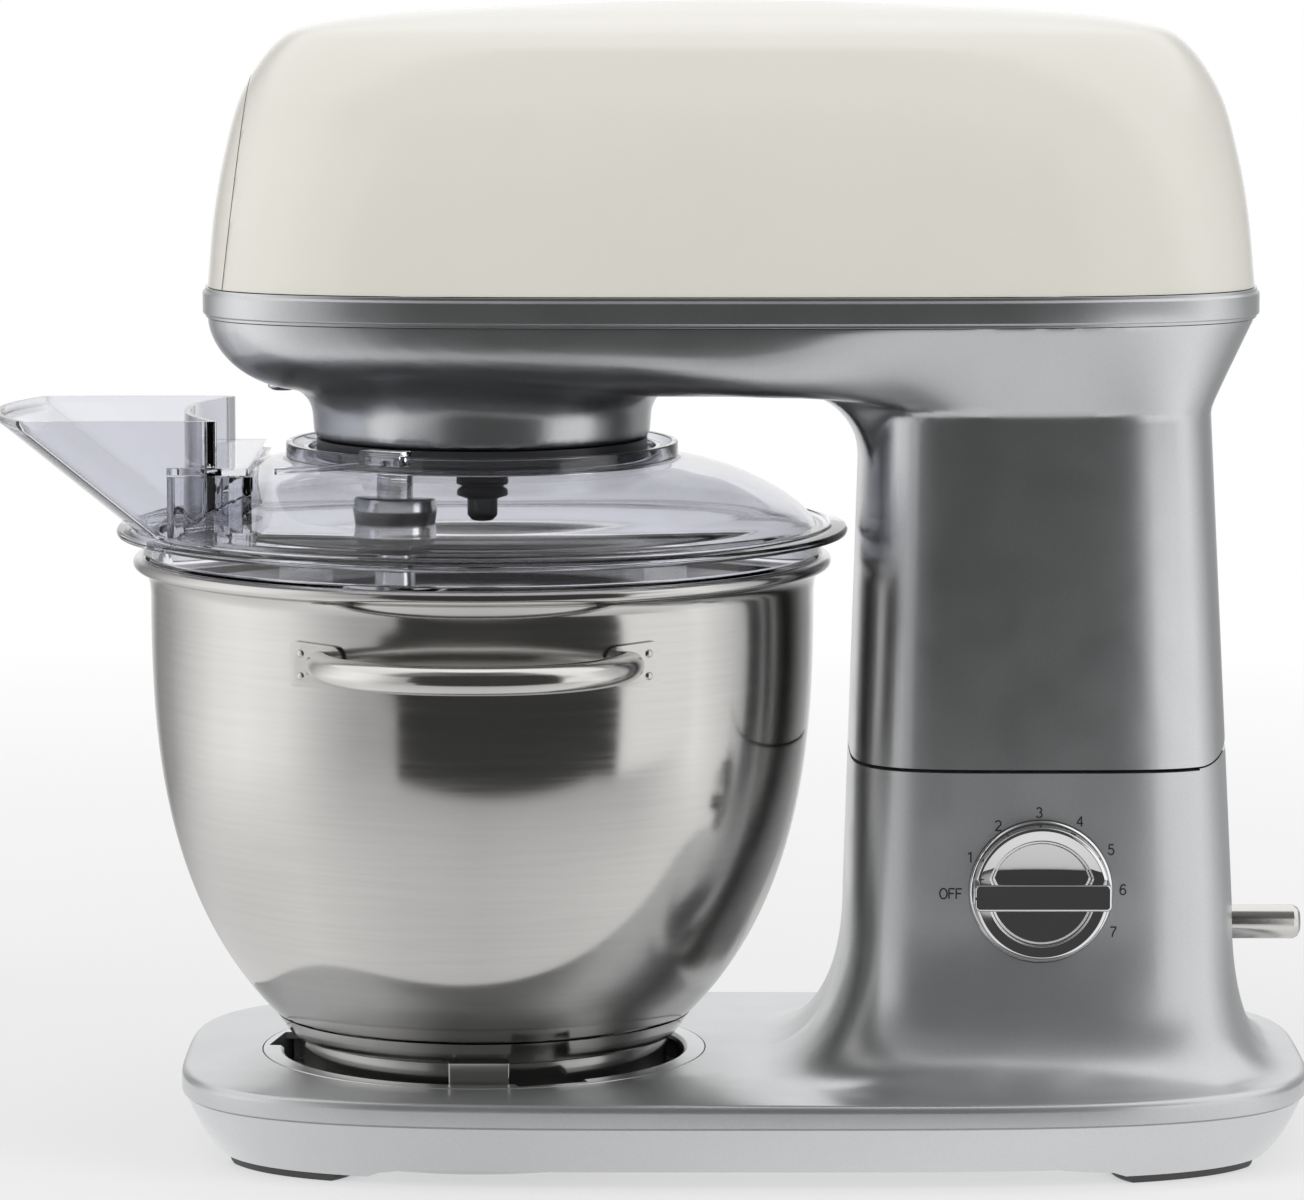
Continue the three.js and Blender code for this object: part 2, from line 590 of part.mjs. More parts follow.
const centreFoot = () =>
  revolve([
    [0, 0],
    [CENTRE_FOOT_RADIUS - 1, 0],
    [CENTRE_FOOT_RADIUS, 1],
    [CENTRE_FOOT_RADIUS, TRAY_Z - GAP],
    [0, TRAY_Z - GAP],
  ]);

// ---- Bowl lock ring: a bayonet seat let into the deck ----
function lockRing() {
  const flangeZ = DECK_Z - 2;
  const body = revolve([
    [SEAT_RING_RADIUS, DECK_Z + 0.3],
    [SEAT_MOUTH_RADIUS + 1, DECK_Z + 0.3],
    [SEAT_MOUTH_RADIUS, DECK_Z - 0.7],
    [SEAT_MOUTH_RADIUS, flangeZ],
    [SEAT_RING_RADIUS - 2, flangeZ],
    [SEAT_RING_RADIUS - 2, SEAT_FLOOR_Z],
    [50, SEAT_FLOOR_Z],
    [50, SEAT_FLOOR_Z - 2],
    [SEAT_RING_RADIUS, SEAT_FLOOR_Z - 2],
  ]);
  const notches = lugAngles().map((angle) => {
    const half = LUG_WIDTH / 2 + 2;
    const shape = outlineOf([[55, -half], [LUG_REACH + 0.6, -half], [LUG_REACH + 0.6, half], [55, half]]);
    const notch = plateXY(shape, flangeZ - 0.1, DECK_Z + 2);
    return notch.rotate([0, 0, THREE.MathUtils.radToDeg(angle) + TWIST_ANGLE]);
  });
  return cut(body, ...notches);
}

const lugAngles = () =>
  Array.from({ length: LUG_COUNT }, (_, i) => -Math.PI / 2 + (i * TURN) / LUG_COUNT);

// ---- Bowl ----
function bowlRadius(z) {
  const depth = (BOWL_TOP_Z - z) / BOWL_DEPTH_FORM;
  return BOWL_RADIUS * Math.sqrt(1 - depth ** BOWL_CURVE_POWER);
}

function bowl() {
  const levels = 7;
  const wall = Array.from({ length: levels }, (_, i) => {
    const share = (i / (levels - 1)) ** 1.5;
    const z = BOWL_BOTTOM_Z + (BOWL_TOP_Z - BOWL_BOTTOM_Z) * share;
    return [bowlRadius(z), z];
  });
  const bottomZ = BOWL_BOTTOM_Z - 3.2;
  const bead = Array.from({ length: 5 }, (_, i) => {
    const a = -Math.PI / 2 + (i / 4) * Math.PI * 1.25;
    return [RIM_BEAD_RADIUS + BEAD_SIZE * Math.cos(a), RIM_BEAD_Z + BEAD_SIZE * Math.sin(a)];
  });
  const inside = wall
    .map(([r, z]) => [r - BOWL_WALL, z + BOWL_WALL * (1 - r / BOWL_RADIUS)])
    .reverse();
  return revolve([
    [0, bottomZ],
    [FOOT_BAND_RADIUS - 5, bottomZ + 0.6],
    ...wall,
    ...bead,
    ...inside,
    [FOOT_BAND_RADIUS - 5, bottomZ + 0.6 + BOWL_WALL],
    [0, bottomZ + BOWL_WALL],
  ]);
}

function bowlFoot() {
  const top = bowlRadius(BOWL_BOTTOM_Z);
  const bottom = SEAT_FLOOR_Z + GAP;
  const body = revolve([
    [top - 0.7, BOWL_BOTTOM_Z - 0.8],
    [FOOT_BAND_RADIUS, FOOT_BAND_Z],
    [FOOT_BAND_RADIUS - 3.5, FOOT_BAND_Z - 0.4],
    [FOOT_BAND_RADIUS - 4, bottom],
    [FOOT_BAND_RADIUS - 9, bottom],
    [FOOT_BAND_RADIUS - 9, BOWL_BOTTOM_Z - 3.2],
    [FOOT_BAND_RADIUS - 5, BOWL_BOTTOM_Z - 3],
  ]);
  const lugs = lugAngles().map((angle) => {
    const half = LUG_WIDTH / 2;
    const web = box(FOOT_BAND_RADIUS - 6, FOOT_BAND_RADIUS + 0.4, -half, half, bottom, FOOT_BAND_Z - 0.5);
    const tongue = box(FOOT_BAND_RADIUS - 6, LUG_REACH, -half, half, bottom, DECK_Z - 2 - RUN);
    return joined(web, tongue).rotate([0, 0, THREE.MathUtils.radToDeg(angle)]);
  });
  return joined(body, ...lugs);
}

// Places at a radius and an angle counted from the front of the bowl.
const bowlPlace = (radius, angle, z) =>
  new THREE.Vector3(radius * Math.sin(angle), -radius * Math.cos(angle), z);

const BRACKET_RADIUS = BOWL_RADIUS + 0.1 + GAP;
const BRACKET_THICKNESS = 1.5;
const HANDLE_START = BRACKET_RADIUS + BRACKET_THICKNESS + GAP;

function handleTube() {
  const end = bowlPlace(HANDLE_START - 3, radians(HANDLE_ANGLE), HANDLE_Z);
  const depth = HANDLE_REACH + end.y;
  const path = Array.from({ length: 13 }, (_, i) => {
    const t = -1 + (2 * i) / 12;
    const x = end.x * Math.sin((t * Math.PI) / 2);
    const out = (1 - Math.abs(x / end.x) ** 2.4) ** (1 / 1.6);
    return new THREE.Vector3(x, end.y - depth * out, HANDLE_Z);
  });
  const section = new THREE.Shape().absarc(0, 0, HANDLE_TUBE, 0, TURN);
  const extrudePath = new THREE.CatmullRomCurve3(path, false, "centripetal");
  const options = { steps: 18, curveSegments: 4, bevelEnabled: false, extrudePath };
  const tube = solidFrom(new THREE.ExtrudeGeometry(section, options));
  return tube.subtract(drum("z", HANDLE_START, HANDLE_Z - 20, HANDLE_Z + 20, [0, 0], 120));
}

function handleBracket(side) {
  const outerAngle = Math.asin(57.8 / BOWL_RADIUS);
  const innerAngle = outerAngle - 0.17;
  const z0 = HANDLE_Z - 7.5;
  const z1 = HANDLE_Z + 7.5;
  const shape = new THREE.Shape();
  const steps = 4;
  const arc = (radius, from, to) =>
    Array.from({ length: steps + 1 }, (_, i) => bowlPlace(radius, from + ((to - from) * i) / steps, 0));
  const corners = [
    ...arc(BRACKET_RADIUS, innerAngle, outerAngle),
    ...arc(BRACKET_RADIUS + BRACKET_THICKNESS, outerAngle, innerAngle),
  ];
  shape.setFromPoints(corners.map((p) => new THREE.Vector2(side * p.x, p.y)));
  return plateXY(shape, z0, z1);
}

// ---- Trim band, top cover and front cap ----
function trimBand() {
  const outer = shrunk(HEAD_SHELL, -BAND_PROUD);
  const inner = shrunk(HEAD_SHELL, CAST_WALL);
  const top = BAND_Z + BAND_HEIGHT;
  const levels = [
    [inner, BAND_Z],
    [shrunk(outer, 0.8), BAND_Z],
    [outer, BAND_Z + 0.8],
    [outer, top - 0.8],
    [shrunk(outer, 0.8), top],
    [inner, top],
  ];
  return skin(levels.map(([shape, z]) => ring(shape, COVER_STEPS, z)), true);
}

// The cover's outline in side view and in end view, as [reach, height] shares of its size.
const COVER_SIDE = [
  [1, 0],
  [0.988, 0.25],
  [0.968, 0.462],
  [0.934, 0.677],
  [0.868, 0.853],
  [0.79, 0.918],
  [0.603, 0.96],
  [0.34, 0.985],
];
const COVER_END = [1, 0.985, 0.955, 0.885, 0.75, 0.61, 0.4, 0.2];

function coverSolid(d) {
  const half = (HEAD_REAR - HEAD_FRONT) / 2 - d;
  const middle = (HEAD_REAR + HEAD_FRONT) / 2;
  const halfWidth = HEAD_HALF_WIDTH - d;
  const height = COVER_HEIGHT - d;
  const rings = COVER_SIDE.map(([side, up], i) => {
    const shape = oval(
      middle - half * side,
      middle + half * side,
      halfWidth * COVER_END[i],
      HEAD_POWER - 1.1 * up,
    );
    return ring(shape, COVER_STEPS, COVER_Z + height * up - (d && i === 0 ? 1 : 0));
  });
  const crown = new THREE.Vector3(middle, 0, COVER_Z + height);
  rings.push(rings.at(-1).map((p) => p.clone().lerp(crown, 0.97).setZ(crown.z)));
  return skin(rings);
}

// Everything in front of the cap's joint line, moved back by a distance.
function aheadOfSeam(back) {
  const depth = 80;
  const lower = [CAP_SEAM_X + back - CAP_SEAM_LEAN * 10, COVER_Z - 10];
  const upper = [CAP_SEAM_X + back + CAP_SEAM_LEAN * 120, COVER_Z + 120];
  const shape = outlineOf([lower, upper, [upper[0] - depth, upper[1]], [lower[0] - depth, lower[1]]]);
  return plateXZ(shape, -100, 100);
}

const coverShell = coverSolid(0).subtract(coverSolid(MOULD_WALL));
const topCover = () => coverShell.subtract(aheadOfSeam(GAP));
const frontCap = () => coverShell.intersect(aheadOfSeam(-GAP));

// ---- Fitting under the front of the head ----
const CAP_FITTING_X = -69;
const CAP_FITTING_RADIUS = 5;
const undersideFitting = () =>
  revolve(
    [
      [0, UNDERSIDE_Z - 1.6],
      [CAP_FITTING_RADIUS - 1.6, UNDERSIDE_Z - 1.6],
      [CAP_FITTING_RADIUS, UNDERSIDE_Z - 0.6],
      [CAP_FITTING_RADIUS, HEAD_FLOOR_Z],
      [0, HEAD_FLOOR_Z],
    ],
    16,
  );

// ---- Mount ring, lid and chute ----
const mountRing = () =>
  revolve([
    [CARRIER_RADIUS + RUN, MOUNT_RING_Z],
    [NOSE_RADIUS + 1.5, MOUNT_RING_Z],
    [NOSE_RADIUS + 1.5, MOUNT_RING_Z + 2],
    [NOSE_RADIUS - 0.7, MOUNT_RING_Z + 2.6],
    [NOSE_RADIUS - 0.7, NOSE_Z - GAP],
    [CARRIER_RADIUS + RUN, NOSE_Z - GAP],
  ]);

// The two points that soften a corner between an arc's end and a straight side.
function softened(arcEnd, corner, sideEnd, roundness) {
  const onSide = corner.clone().add(sideEnd.clone().sub(corner).setLength(roundness));
  const middle = arcEnd.clone().add(onSide).multiplyScalar(0.25).addScaledVector(corner, 0.5);
  return [middle, onSide];
}

// The chute in plan at a height, before its back is hollowed out.
function chuteOutline(z, d) {
  const half = CHUTE_HALF_WIDTH - d;
  const radius = CHUTE_FRONT_ROUND - d;
  const middle = CHUTE_TIP + CHUTE_FRONT_ROUND + (CHUTE_RIM_Z - z) / CHUTE_SLOPE;
  const reachedAt = Math.asin(half / radius);
  const steps = 8;
  const kept = 0.85; // share of the arc that the rounded corners leave
  const front = Array.from({ length: steps + 1 }, (_, i) => {
    const angle = kept * reachedAt * ((2 * i) / steps - 1);
    return new THREE.Vector2(middle - radius * Math.cos(angle), radius * Math.sin(angle));
  });
  const nose = (side) => new THREE.Vector2(middle - radius * Math.cos(reachedAt), side * half);
  const rear = (side) => new THREE.Vector2(SOCKET_REAR, side * half);
  return [
    ...front,
    ...softened(front.at(-1), nose(1), rear(1), CHUTE_CORNER - Math.max(d, 0)),
    rear(1),
    rear(-1),
    ...softened(front[0], nose(-1), rear(-1), CHUTE_CORNER - Math.max(d, 0)).reverse(),
  ];
}

function chuteSolid(d, stretch) {
  const rings = [CHUTE_BOTTOM - stretch, CHUTE_RIM_Z, CHUTE_TOP + stretch].map((z) =>
    chuteOutline(Math.min(z, CHUTE_RIM_Z), d).map((p) => new THREE.Vector3(p.x, p.y, z)),
  );
  const hollow = drum("z", CHUTE_BACK_ROUND + d, CHUTE_BOTTOM - 20, CHUTE_TOP + 20, [0, 0], 72);
  return skin(rings).subtract(hollow);
}

// One of the two arms that reach from the chute's lip to the lid's collar.
function strap(side) {
  const steps = 8;
  const tip = LID_COLLAR_RADIUS + 3.5;
  const path = Array.from({ length: steps + 1 }, (_, i) => {
    const t = i / steps;
    const angle = Math.PI + side * radians(STRAP_START + (STRAP_END - STRAP_START) * t);
    const radius = STRAP_ROOT + (tip - STRAP_ROOT) * Math.min(1, t * 1.25) ** 0.8;
    return new THREE.Vector2(radius * Math.cos(angle), radius * Math.sin(angle));
  });
  const edge = (offset) =>
    path.map((p, i) => {
      const along = path[Math.min(i + 1, steps)].clone().sub(path[Math.max(i - 1, 0)]).normalize();
      return new THREE.Vector2(p.x - along.y * offset, p.y + along.x * offset);
    });
  const outline = [...edge(STRAP_WIDTH / 2), ...edge(-STRAP_WIDTH / 2).reverse()];
  return plateXY(new THREE.Shape(outline), STRAP_Z, STRAP_Z + CLEAR_WALL);
}

function feedChute() {
  const lipHalf = SOCKET_HALF_WIDTH - GAP;
  const lipRear = SOCKET_REAR - 1.5;
  const lip = box(SOCKET_FRONT, lipRear, -lipHalf, lipHalf, LIP_Z, STRAP_Z + CLEAR_WALL);
  const whole = joined(chuteSolid(0, 0), lip, strap(-1), strap(1));
  return cut(whole, chuteSolid(CLEAR_WALL, 2));
}

const LIP_Z = SOCKET_TOP + 0.5;
const STRAP_Z = 227.8;

function lid() {
  const top = [
    [LID_COLLAR_RADIUS, LID_COLLAR_TOP],
    [LID_COLLAR_RADIUS, 227.5],
    [82, 224.3],
    [95, 219.3],
    [103.3, 214.3],
    [109.7, 210],
    [111.5, 206.3],
    [LID_RADIUS - 0.6, 206.3],
    [LID_RADIUS, LID_FLANGE_Z + 0.4],
    [LID_RADIUS - 0.6, LID_FLANGE_Z],
    [112.6, LID_FLANGE_Z],
    [112.6, LID_SKIRT_Z],
  ];
  const under = [
    [112.6 - CLEAR_WALL, LID_SKIRT_Z],
    [112.6 - CLEAR_WALL, LID_FLANGE_Z + 1],
    [108.4, 208],
    [101.6, 212.6],
    [93.8, 217.2],
    [81.3, 222],
    [NOSE_RADIUS + 2, 225.2],
    [NOSE_RADIUS + 2, 232],
    [NOSE_RADIUS + 4, 232],
    [NOSE_RADIUS + 4, 227.6],
    [LID_COLLAR_RADIUS - CLEAR_WALL, 227.4],
    [LID_COLLAR_RADIUS - CLEAR_WALL, LID_COLLAR_TOP],
  ];
  const socketHalf = SOCKET_HALF_WIDTH;
  const socket = box(SOCKET_FRONT, SOCKET_REAR, -socketHalf, socketHalf, LID_FLANGE_Z + 1, SOCKET_TOP);
  const throatHalf = CHUTE_HALF_WIDTH + 0.7;
  const sill = LID_FLANGE_Z + 4.5;
  const throatRear = SOCKET_REAR - 3;
  const throat = box(CHUTE_TIP, throatRear, -throatHalf, throatHalf, sill, SOCKET_TOP + 1);
  const dome = revolve([...top, ...under]);
  return cut(joined(dome, socket), throat, chuteSolid(-GAP, 4));
}

function chuteClip(side) {
  const inner = LID_COLLAR_RADIUS - CLEAR_WALL - GAP;
  const outer = LID_COLLAR_RADIUS + GAP;
  const body = revolve([
    [inner - 1.6, LID_COLLAR_TOP - 3],
    [inner, LID_COLLAR_TOP - 3],
    [inner, LID_COLLAR_TOP + GAP],
    [outer, LID_COLLAR_TOP + GAP],
    [outer, STRAP_Z + CLEAR_WALL + GAP],
    [outer + 6, STRAP_Z + CLEAR_WALL + GAP],
    [outer + 6, LID_COLLAR_TOP + 2.4],
    [inner - 1.6, LID_COLLAR_TOP + 2.4],
  ], 60);
  const wedge = outlineOf([[0, 0], [-24, -80], [-44, -80]].map(([x, y]) => [x, side * -y]));
  return body.intersect(plateXY(wedge, 200, 260));
}

// ---- Gears ----
const involute = (a) => Math.tan(a) - a;

// Half the angle that a tooth takes up at a radius, on a gear of a given pitch radius.
function halfTooth(teeth, pitch, radius, extra) {
  const base = pitch * Math.cos(radians(PRESSURE_ANGLE));
  const atPitch = Math.PI / (2 * teeth) + extra / (2 * pitch);
  const here = radius > base ? Math.acos(base / radius) : 0;
  return atPitch + involute(radians(PRESSURE_ANGLE)) - involute(here);
}

// A gear's outline, with a tooth centred on +X. extra widens each tooth, and a ring gear's
// spaces are such widened teeth.
function toothedPoints(teeth, module, tipShare, rootShare, extra) {
  const pitch = (teeth * module) / 2;
  const radii = [pitch - rootShare * module, pitch + tipShare * module];
  return Array.from({ length: teeth }, (_, i) => {
    const middle = (i / teeth) * TURN;
    const flank = (radius, side) => {
      const a = middle + side * halfTooth(teeth, pitch, radius, extra);
      return [radius * Math.cos(a), radius * Math.sin(a)];
    };
    return [flank(radii[0], -1), flank(radii[1], -1), flank(radii[1], 1), flank(radii[0], 1)];
  }).flat();
}

function gearDisc(teeth, module, bore, height) {
  const shape = outlineOf(toothedPoints(teeth, module, ADDENDUM, DEDENDUM, -TOOTH_PLAY / 2));
  shape.holes.push(new THREE.Path().absarc(0, 0, bore, 0, TURN, true));
  return plateXY(shape, 0, height, 8);
}

function ringGear() {
  const shape = new THREE.Shape().absarc(0, 0, NOSE_BORE - GAP, 0, TURN);
  const spaces = toothedPoints(RING_TEETH, PLANET_MODULE, DEDENDUM, ADDENDUM, TOOTH_PLAY / 2);
  shape.holes.push(new THREE.Path(spaces.map(([x, y]) => new THREE.Vector2(x, y))));
  return plateXY(shape, 0, RING_FACE, ROUND_STEPS / 2);
}

const WORM_LEAD = WORM_STARTS * Math.PI * WORM_MODULE;
const RING_FACE = 10;
const RING_Z = NOSE_Z + 1.8;

// The worm wheel's teeth lean with the worm's thread.
function wormWheel() {
  const outline = toothedPoints(WHEEL_TEETH, WORM_MODULE, ADDENDUM, DEDENDUM, -TOOTH_PLAY / 2);
  const leanPerHeight = WORM_LEAD / (TURN * WORM_RADIUS) / WHEEL_RADIUS;
  const spans = 2;
  const rings = Array.from({ length: spans + 1 }, (_, k) => {
    const z = -WHEEL_FACE / 2 + (WHEEL_FACE * k) / spans;
    const lean = leanPerHeight * z;
    return outline.map(([x, y]) => {
      const turned = new THREE.Vector2(x, y).rotateAround(new THREE.Vector2(), lean);
      return new THREE.Vector3(turned.x, turned.y, z);
    });
  });
  return skin(rings).subtract(drum("z", COUNTER_SHAFT_RADIUS + GAP, -20, 20));
}

const WHEEL_FACE = 9;
const WORM_LENGTH = 30;

// The motor shaft, with its worm cut on it. Its thread meets the wheel at x = 0, on the +Y side.
function motorShaft() {
  const tip = WORM_RADIUS + ADDENDUM * WORM_MODULE;
  const root = WORM_RADIUS - DEDENDUM * WORM_MODULE;
  const slope = Math.tan(radians(PRESSURE_ANGLE));
  const halfThread = (radius) =>
    (Math.PI * WORM_MODULE) / 4 - TOOTH_PLAY / 4 - (radius - WORM_RADIUS) * slope;
  const perStart = TURN / WORM_STARTS;
  const toAngle = TURN / WORM_LEAD;
  const section = Array.from({ length: WORM_STARTS }, (_, i) => {
    const middle = (i + 0.5) * perStart;
    return [
      [root, middle - halfThread(root) * toAngle],
      [tip, middle - halfThread(tip) * toAngle],
      [tip, middle + halfThread(tip) * toAngle],
      [root, middle + halfThread(root) * toAngle],
    ];
  }).flat();
  const spans = 18;
  const rings = Array.from({ length: spans + 1 }, (_, k) => {
    const x = -WORM_LENGTH / 2 + (WORM_LENGTH * k) / spans;
    return section.map(([radius, angle]) => {
      const a = angle + x * toAngle;
      return new THREE.Vector3(x, radius * Math.cos(a), radius * Math.sin(a));
    });
  });
  const from = SHAFT_FRONT_X - COUNTER_X;
  const to = SHAFT_REAR_X - COUNTER_X;
  return joined(skin(rings), drum("x", MOTOR_SHAFT_RADIUS, from, to));
}

// ---- Gearbox frame and motor ----
const BEARING_WALL = 3;
const BEARING_WIDTH = 6;
const SHAFT_FRONT_X = COUNTER_X - WORM_LENGTH / 2 - BEARING_WIDTH - 4;
const STATOR_X0 = COUNTER_X + WORM_LENGTH / 2 + BEARING_WIDTH + 14;
const STATOR_X1 = STATOR_X0 + 48;
const FAN_X = STATOR_X1 + 24;
const END_BEARING_X = FAN_X + 14;
const SHAFT_REAR_X = END_BEARING_X + BEARING_WIDTH + 2;
const FRONT_BEARING_X = COUNTER_X - WORM_LENGTH / 2 - BEARING_WIDTH - 2;
const MIDDLE_BEARING_X = COUNTER_X + WORM_LENGTH / 2 + 2;
const FRAME_HALF_WIDTH = 38;

function gearboxFrame() {
  const rear = STATOR_X1 + 2;
  const foot = box(-44, rear, -FRAME_HALF_WIDTH, FRAME_HALF_WIDTH, FRAME_Z, FRAME_Z + FRAME_PLATE);
  const bridge = box(-44, 58, -36, 38, BRIDGE_Z, BRIDGE_Z + BRIDGE_PLATE);
  const posts = [[-39, -31], [-39, 33], [53, -31], [53, 33]].map(([x, y]) =>
    drum("z", 4, FRAME_Z + 1, BRIDGE_Z + 1, [x, y], 10),
  );
  const blocks = [FRONT_BEARING_X, MIDDLE_BEARING_X].map((x) =>
    box(x, x + BEARING_WIDTH, -11, 11, BRIDGE_Z + 1, MOTOR_Z + 11),
  );
  const bores = [
    drum("z", MAIN_SHAFT_RADIUS + GAP + BEARING_WALL + GAP, FRAME_Z - 1, FRAME_Z + FRAME_PLATE + 1),
    drum("z", MAIN_SHAFT_RADIUS + RUN, BRIDGE_Z - 1, BRIDGE_Z + BRIDGE_PLATE + 1),
    drum("z", COUNTER_SHAFT_RADIUS + RUN, FRAME_Z + 1, BRIDGE_Z + 20, [COUNTER_X, COUNTER_Y]),
    drum("x", MOTOR_SHAFT_RADIUS + GAP + BEARING_WALL + GAP, -20, 70, [0, MOTOR_Z]),
  ];
  return cut(joined(foot, bridge, ...posts, ...blocks), ...bores);
}

const bearing = (inner) =>
  revolve(
    [
      [inner + GAP, -BEARING_WIDTH / 2],
      [inner + GAP + BEARING_WALL, -BEARING_WIDTH / 2],
      [inner + GAP + BEARING_WALL, BEARING_WIDTH / 2],
      [inner + GAP, BEARING_WIDTH / 2],
    ],
    PART_STEPS,
  );

function motorStator() {
  const half = STATOR_HALF_WIDTH;
  const height = MOTOR_Z - FRAME_Z - FRAME_PLATE - GAP;
  const corner = 10;
  const shape = new THREE.Shape();
  shape.moveTo(-half + corner, -height);
  shape.lineTo(half - corner, -height);
  shape.lineTo(half, -height + corner);
  shape.lineTo(half, height - corner);
  shape.lineTo(half - corner, height);
  shape.lineTo(-half + corner, height);
  shape.lineTo(-half, height - corner);
  shape.lineTo(-half, -height + corner);
  const length = STATOR_X1 - STATOR_X0;
  const bore = drum("z", STATOR_BORE, -50, 50, [0, 0], 28);
  const core = plateXY(shape, -length / 2, length / 2).subtract(bore);
  return core.rotate([0, 90, 0]).rotate([90, 0, 0]);
}

function motorEndBracket() {
  const from = STATOR_X1 + GAP;
  const to = END_BEARING_X + BEARING_WIDTH;
  const arms = [-1, 1].map((side) => {
    const y = side * (STATOR_HALF_WIDTH - 3);
    return box(from, to, y - 2.5, y + 2.5, MOTOR_Z - 8, MOTOR_Z + 8);
  });
  const edge = STATOR_HALF_WIDTH - 0.5;
  const plate = box(END_BEARING_X, to, -edge, edge, MOTOR_Z - 12, MOTOR_Z + 12);
  const seat = drum("x", MOTOR_SHAFT_RADIUS + GAP + BEARING_WALL + GAP, from, to + 5, [0, MOTOR_Z]);
  return cut(joined(...arms, plate), seat);
}

// A hub with blades that rise from a thin disc.
function coolingFan() {
  const outer = 28;
  const blades = Array.from({ length: 7 }, (_, i) =>
    box(10, outer, -0.8, 0.8, 0.5, 8).rotate([0, 0, (i * 360) / 7]),
  );
  const disc = revolve([[MOTOR_SHAFT_RADIUS + GAP, 0], [outer, 0], [outer, 1.6], [12, 1.6], [12, 9],
    [MOTOR_SHAFT_RADIUS + GAP, 9]], 24);
  return joined(disc, ...blades);
}

const sleeve = (inner, outer, length, steps = PART_STEPS) =>
  revolve([[inner, 0], [outer, 0], [outer, length], [inner, length]], steps);

// ---- Planet carrier and beater spindle ----
const CARRIER_RADIUS = NOSE_RADIUS - CARRIER_INSET;
const CARRIER_TOP = MOUNT_RING_Z + GAP + CARRIER_HEIGHT;

function planetCarrier() {
  const under = MOUNT_RING_Z + GAP;
  const disc = revolve([
    [0, 207],
    [3.4, 207.6],
    [5, 209.4],
    [5, 216],
    [9, 219],
    [9, under],
    [CARRIER_RADIUS - 2, under],
    [CARRIER_RADIUS, under + 1.5],
    [CARRIER_RADIUS, CARRIER_TOP],
    [0, CARRIER_TOP],
  ]);
  const boss = drum("z", 11, under - 5, under + 1, [-OFFSET, 0], 24);
  const bore = drum("z", BEATER_SHAFT_RADIUS + RUN, under - 9, CARRIER_TOP + 2, [-OFFSET, 0], 24);
  return cut(joined(disc, boss), bore);
}

const COUPLING_BOTTOM = 199;
const COUPLING_TOP = 216;

const beaterShaft = () =>
  revolve(
    [
      [0, COUPLING_TOP - 10],
      [BEATER_SHAFT_RADIUS, COUPLING_TOP - 10],
      [BEATER_SHAFT_RADIUS, RING_Z + RING_FACE + 2],
      [0, RING_Z + RING_FACE + 2],
    ],
    PART_STEPS,
  );

// A cup that holds the tool's stem, closed at the bottom except for the neck.
const toolCoupling = () =>
  revolve(
    [
      [BEATER_SHAFT_RADIUS + GAP, COUPLING_TOP],
      [14, COUPLING_TOP],
      [14, COUPLING_BOTTOM + 5],
      [11.5, COUPLING_BOTTOM + 1.2],
      [8, COUPLING_BOTTOM],
      [0, COUPLING_BOTTOM],
      [0, COUPLING_TOP - 10 - GAP],
      [BEATER_SHAFT_RADIUS + GAP, COUPLING_TOP - 10 - GAP],
    ],
    24,
  );

const HOOK_DISC_Z = 184;
const HOOK_TOP_Z = 172;
const HOOK_BOTTOM_Z = 53;
const HOOK_REACH = 33;
const HOOK_ROD = 5.5;

function doughHook() {
  const stem = revolve(
    [
      [0, HOOK_TOP_Z - 8],
      [HOOK_ROD, HOOK_TOP_Z - 8],
      [HOOK_ROD, HOOK_DISC_Z - 1],
      [17, HOOK_DISC_Z - 1],
      [18, HOOK_DISC_Z],
      [17, HOOK_DISC_Z + 1.2],
      [7.2, HOOK_DISC_Z + 2],
      [6.6, HOOK_DISC_Z + 8],
      [6.6, COUPLING_BOTTOM - 2],
      [4.4, COUPLING_BOTTOM - GAP],
      [0, COUPLING_BOTTOM - GAP],
    ],
    24,
  );
  const points = Array.from({ length: 15 }, (_, i) => {
    const t = i / 14;
    const swing = HOOK_REACH * Math.sin(Math.PI * Math.min(1, t * 0.93)) ** 0.8;
    const angle = t * Math.PI * 1.25;
    const z = HOOK_TOP_Z - (HOOK_TOP_Z - HOOK_BOTTOM_Z) * t;
    return new THREE.Vector3(swing * Math.cos(angle), swing * Math.sin(angle), z);
  });
  const section = new THREE.Shape().absarc(0, 0, HOOK_ROD, 0, TURN);
  const extrudePath = new THREE.CatmullRomCurve3(points);
  const options = { steps: 24, curveSegments: 4, bevelEnabled: false, extrudePath };
  return joined(stem, solidFrom(new THREE.ExtrudeGeometry(section, options)));
}

// ---- Dial ----
const DIAL_SHAFT_RADIUS = 3;
const DIAL_FACE_Y = -COLUMN_HALF_WIDTH + 0.9;
const BEZEL_HEIGHT = 2.6;

const dialBezel = () =>
  revolve(
    [
      [DIAL_SHAFT_RADIUS + RUN, GAP],
      [DIAL_RADIUS, GAP],
      [DIAL_RADIUS, BEZEL_HEIGHT - 0.6],
      [DIAL_RADIUS - 0.6, BEZEL_HEIGHT],
      [DIAL_SHAFT_RADIUS + RUN, BEZEL_HEIGHT],
    ],
    32,
  );

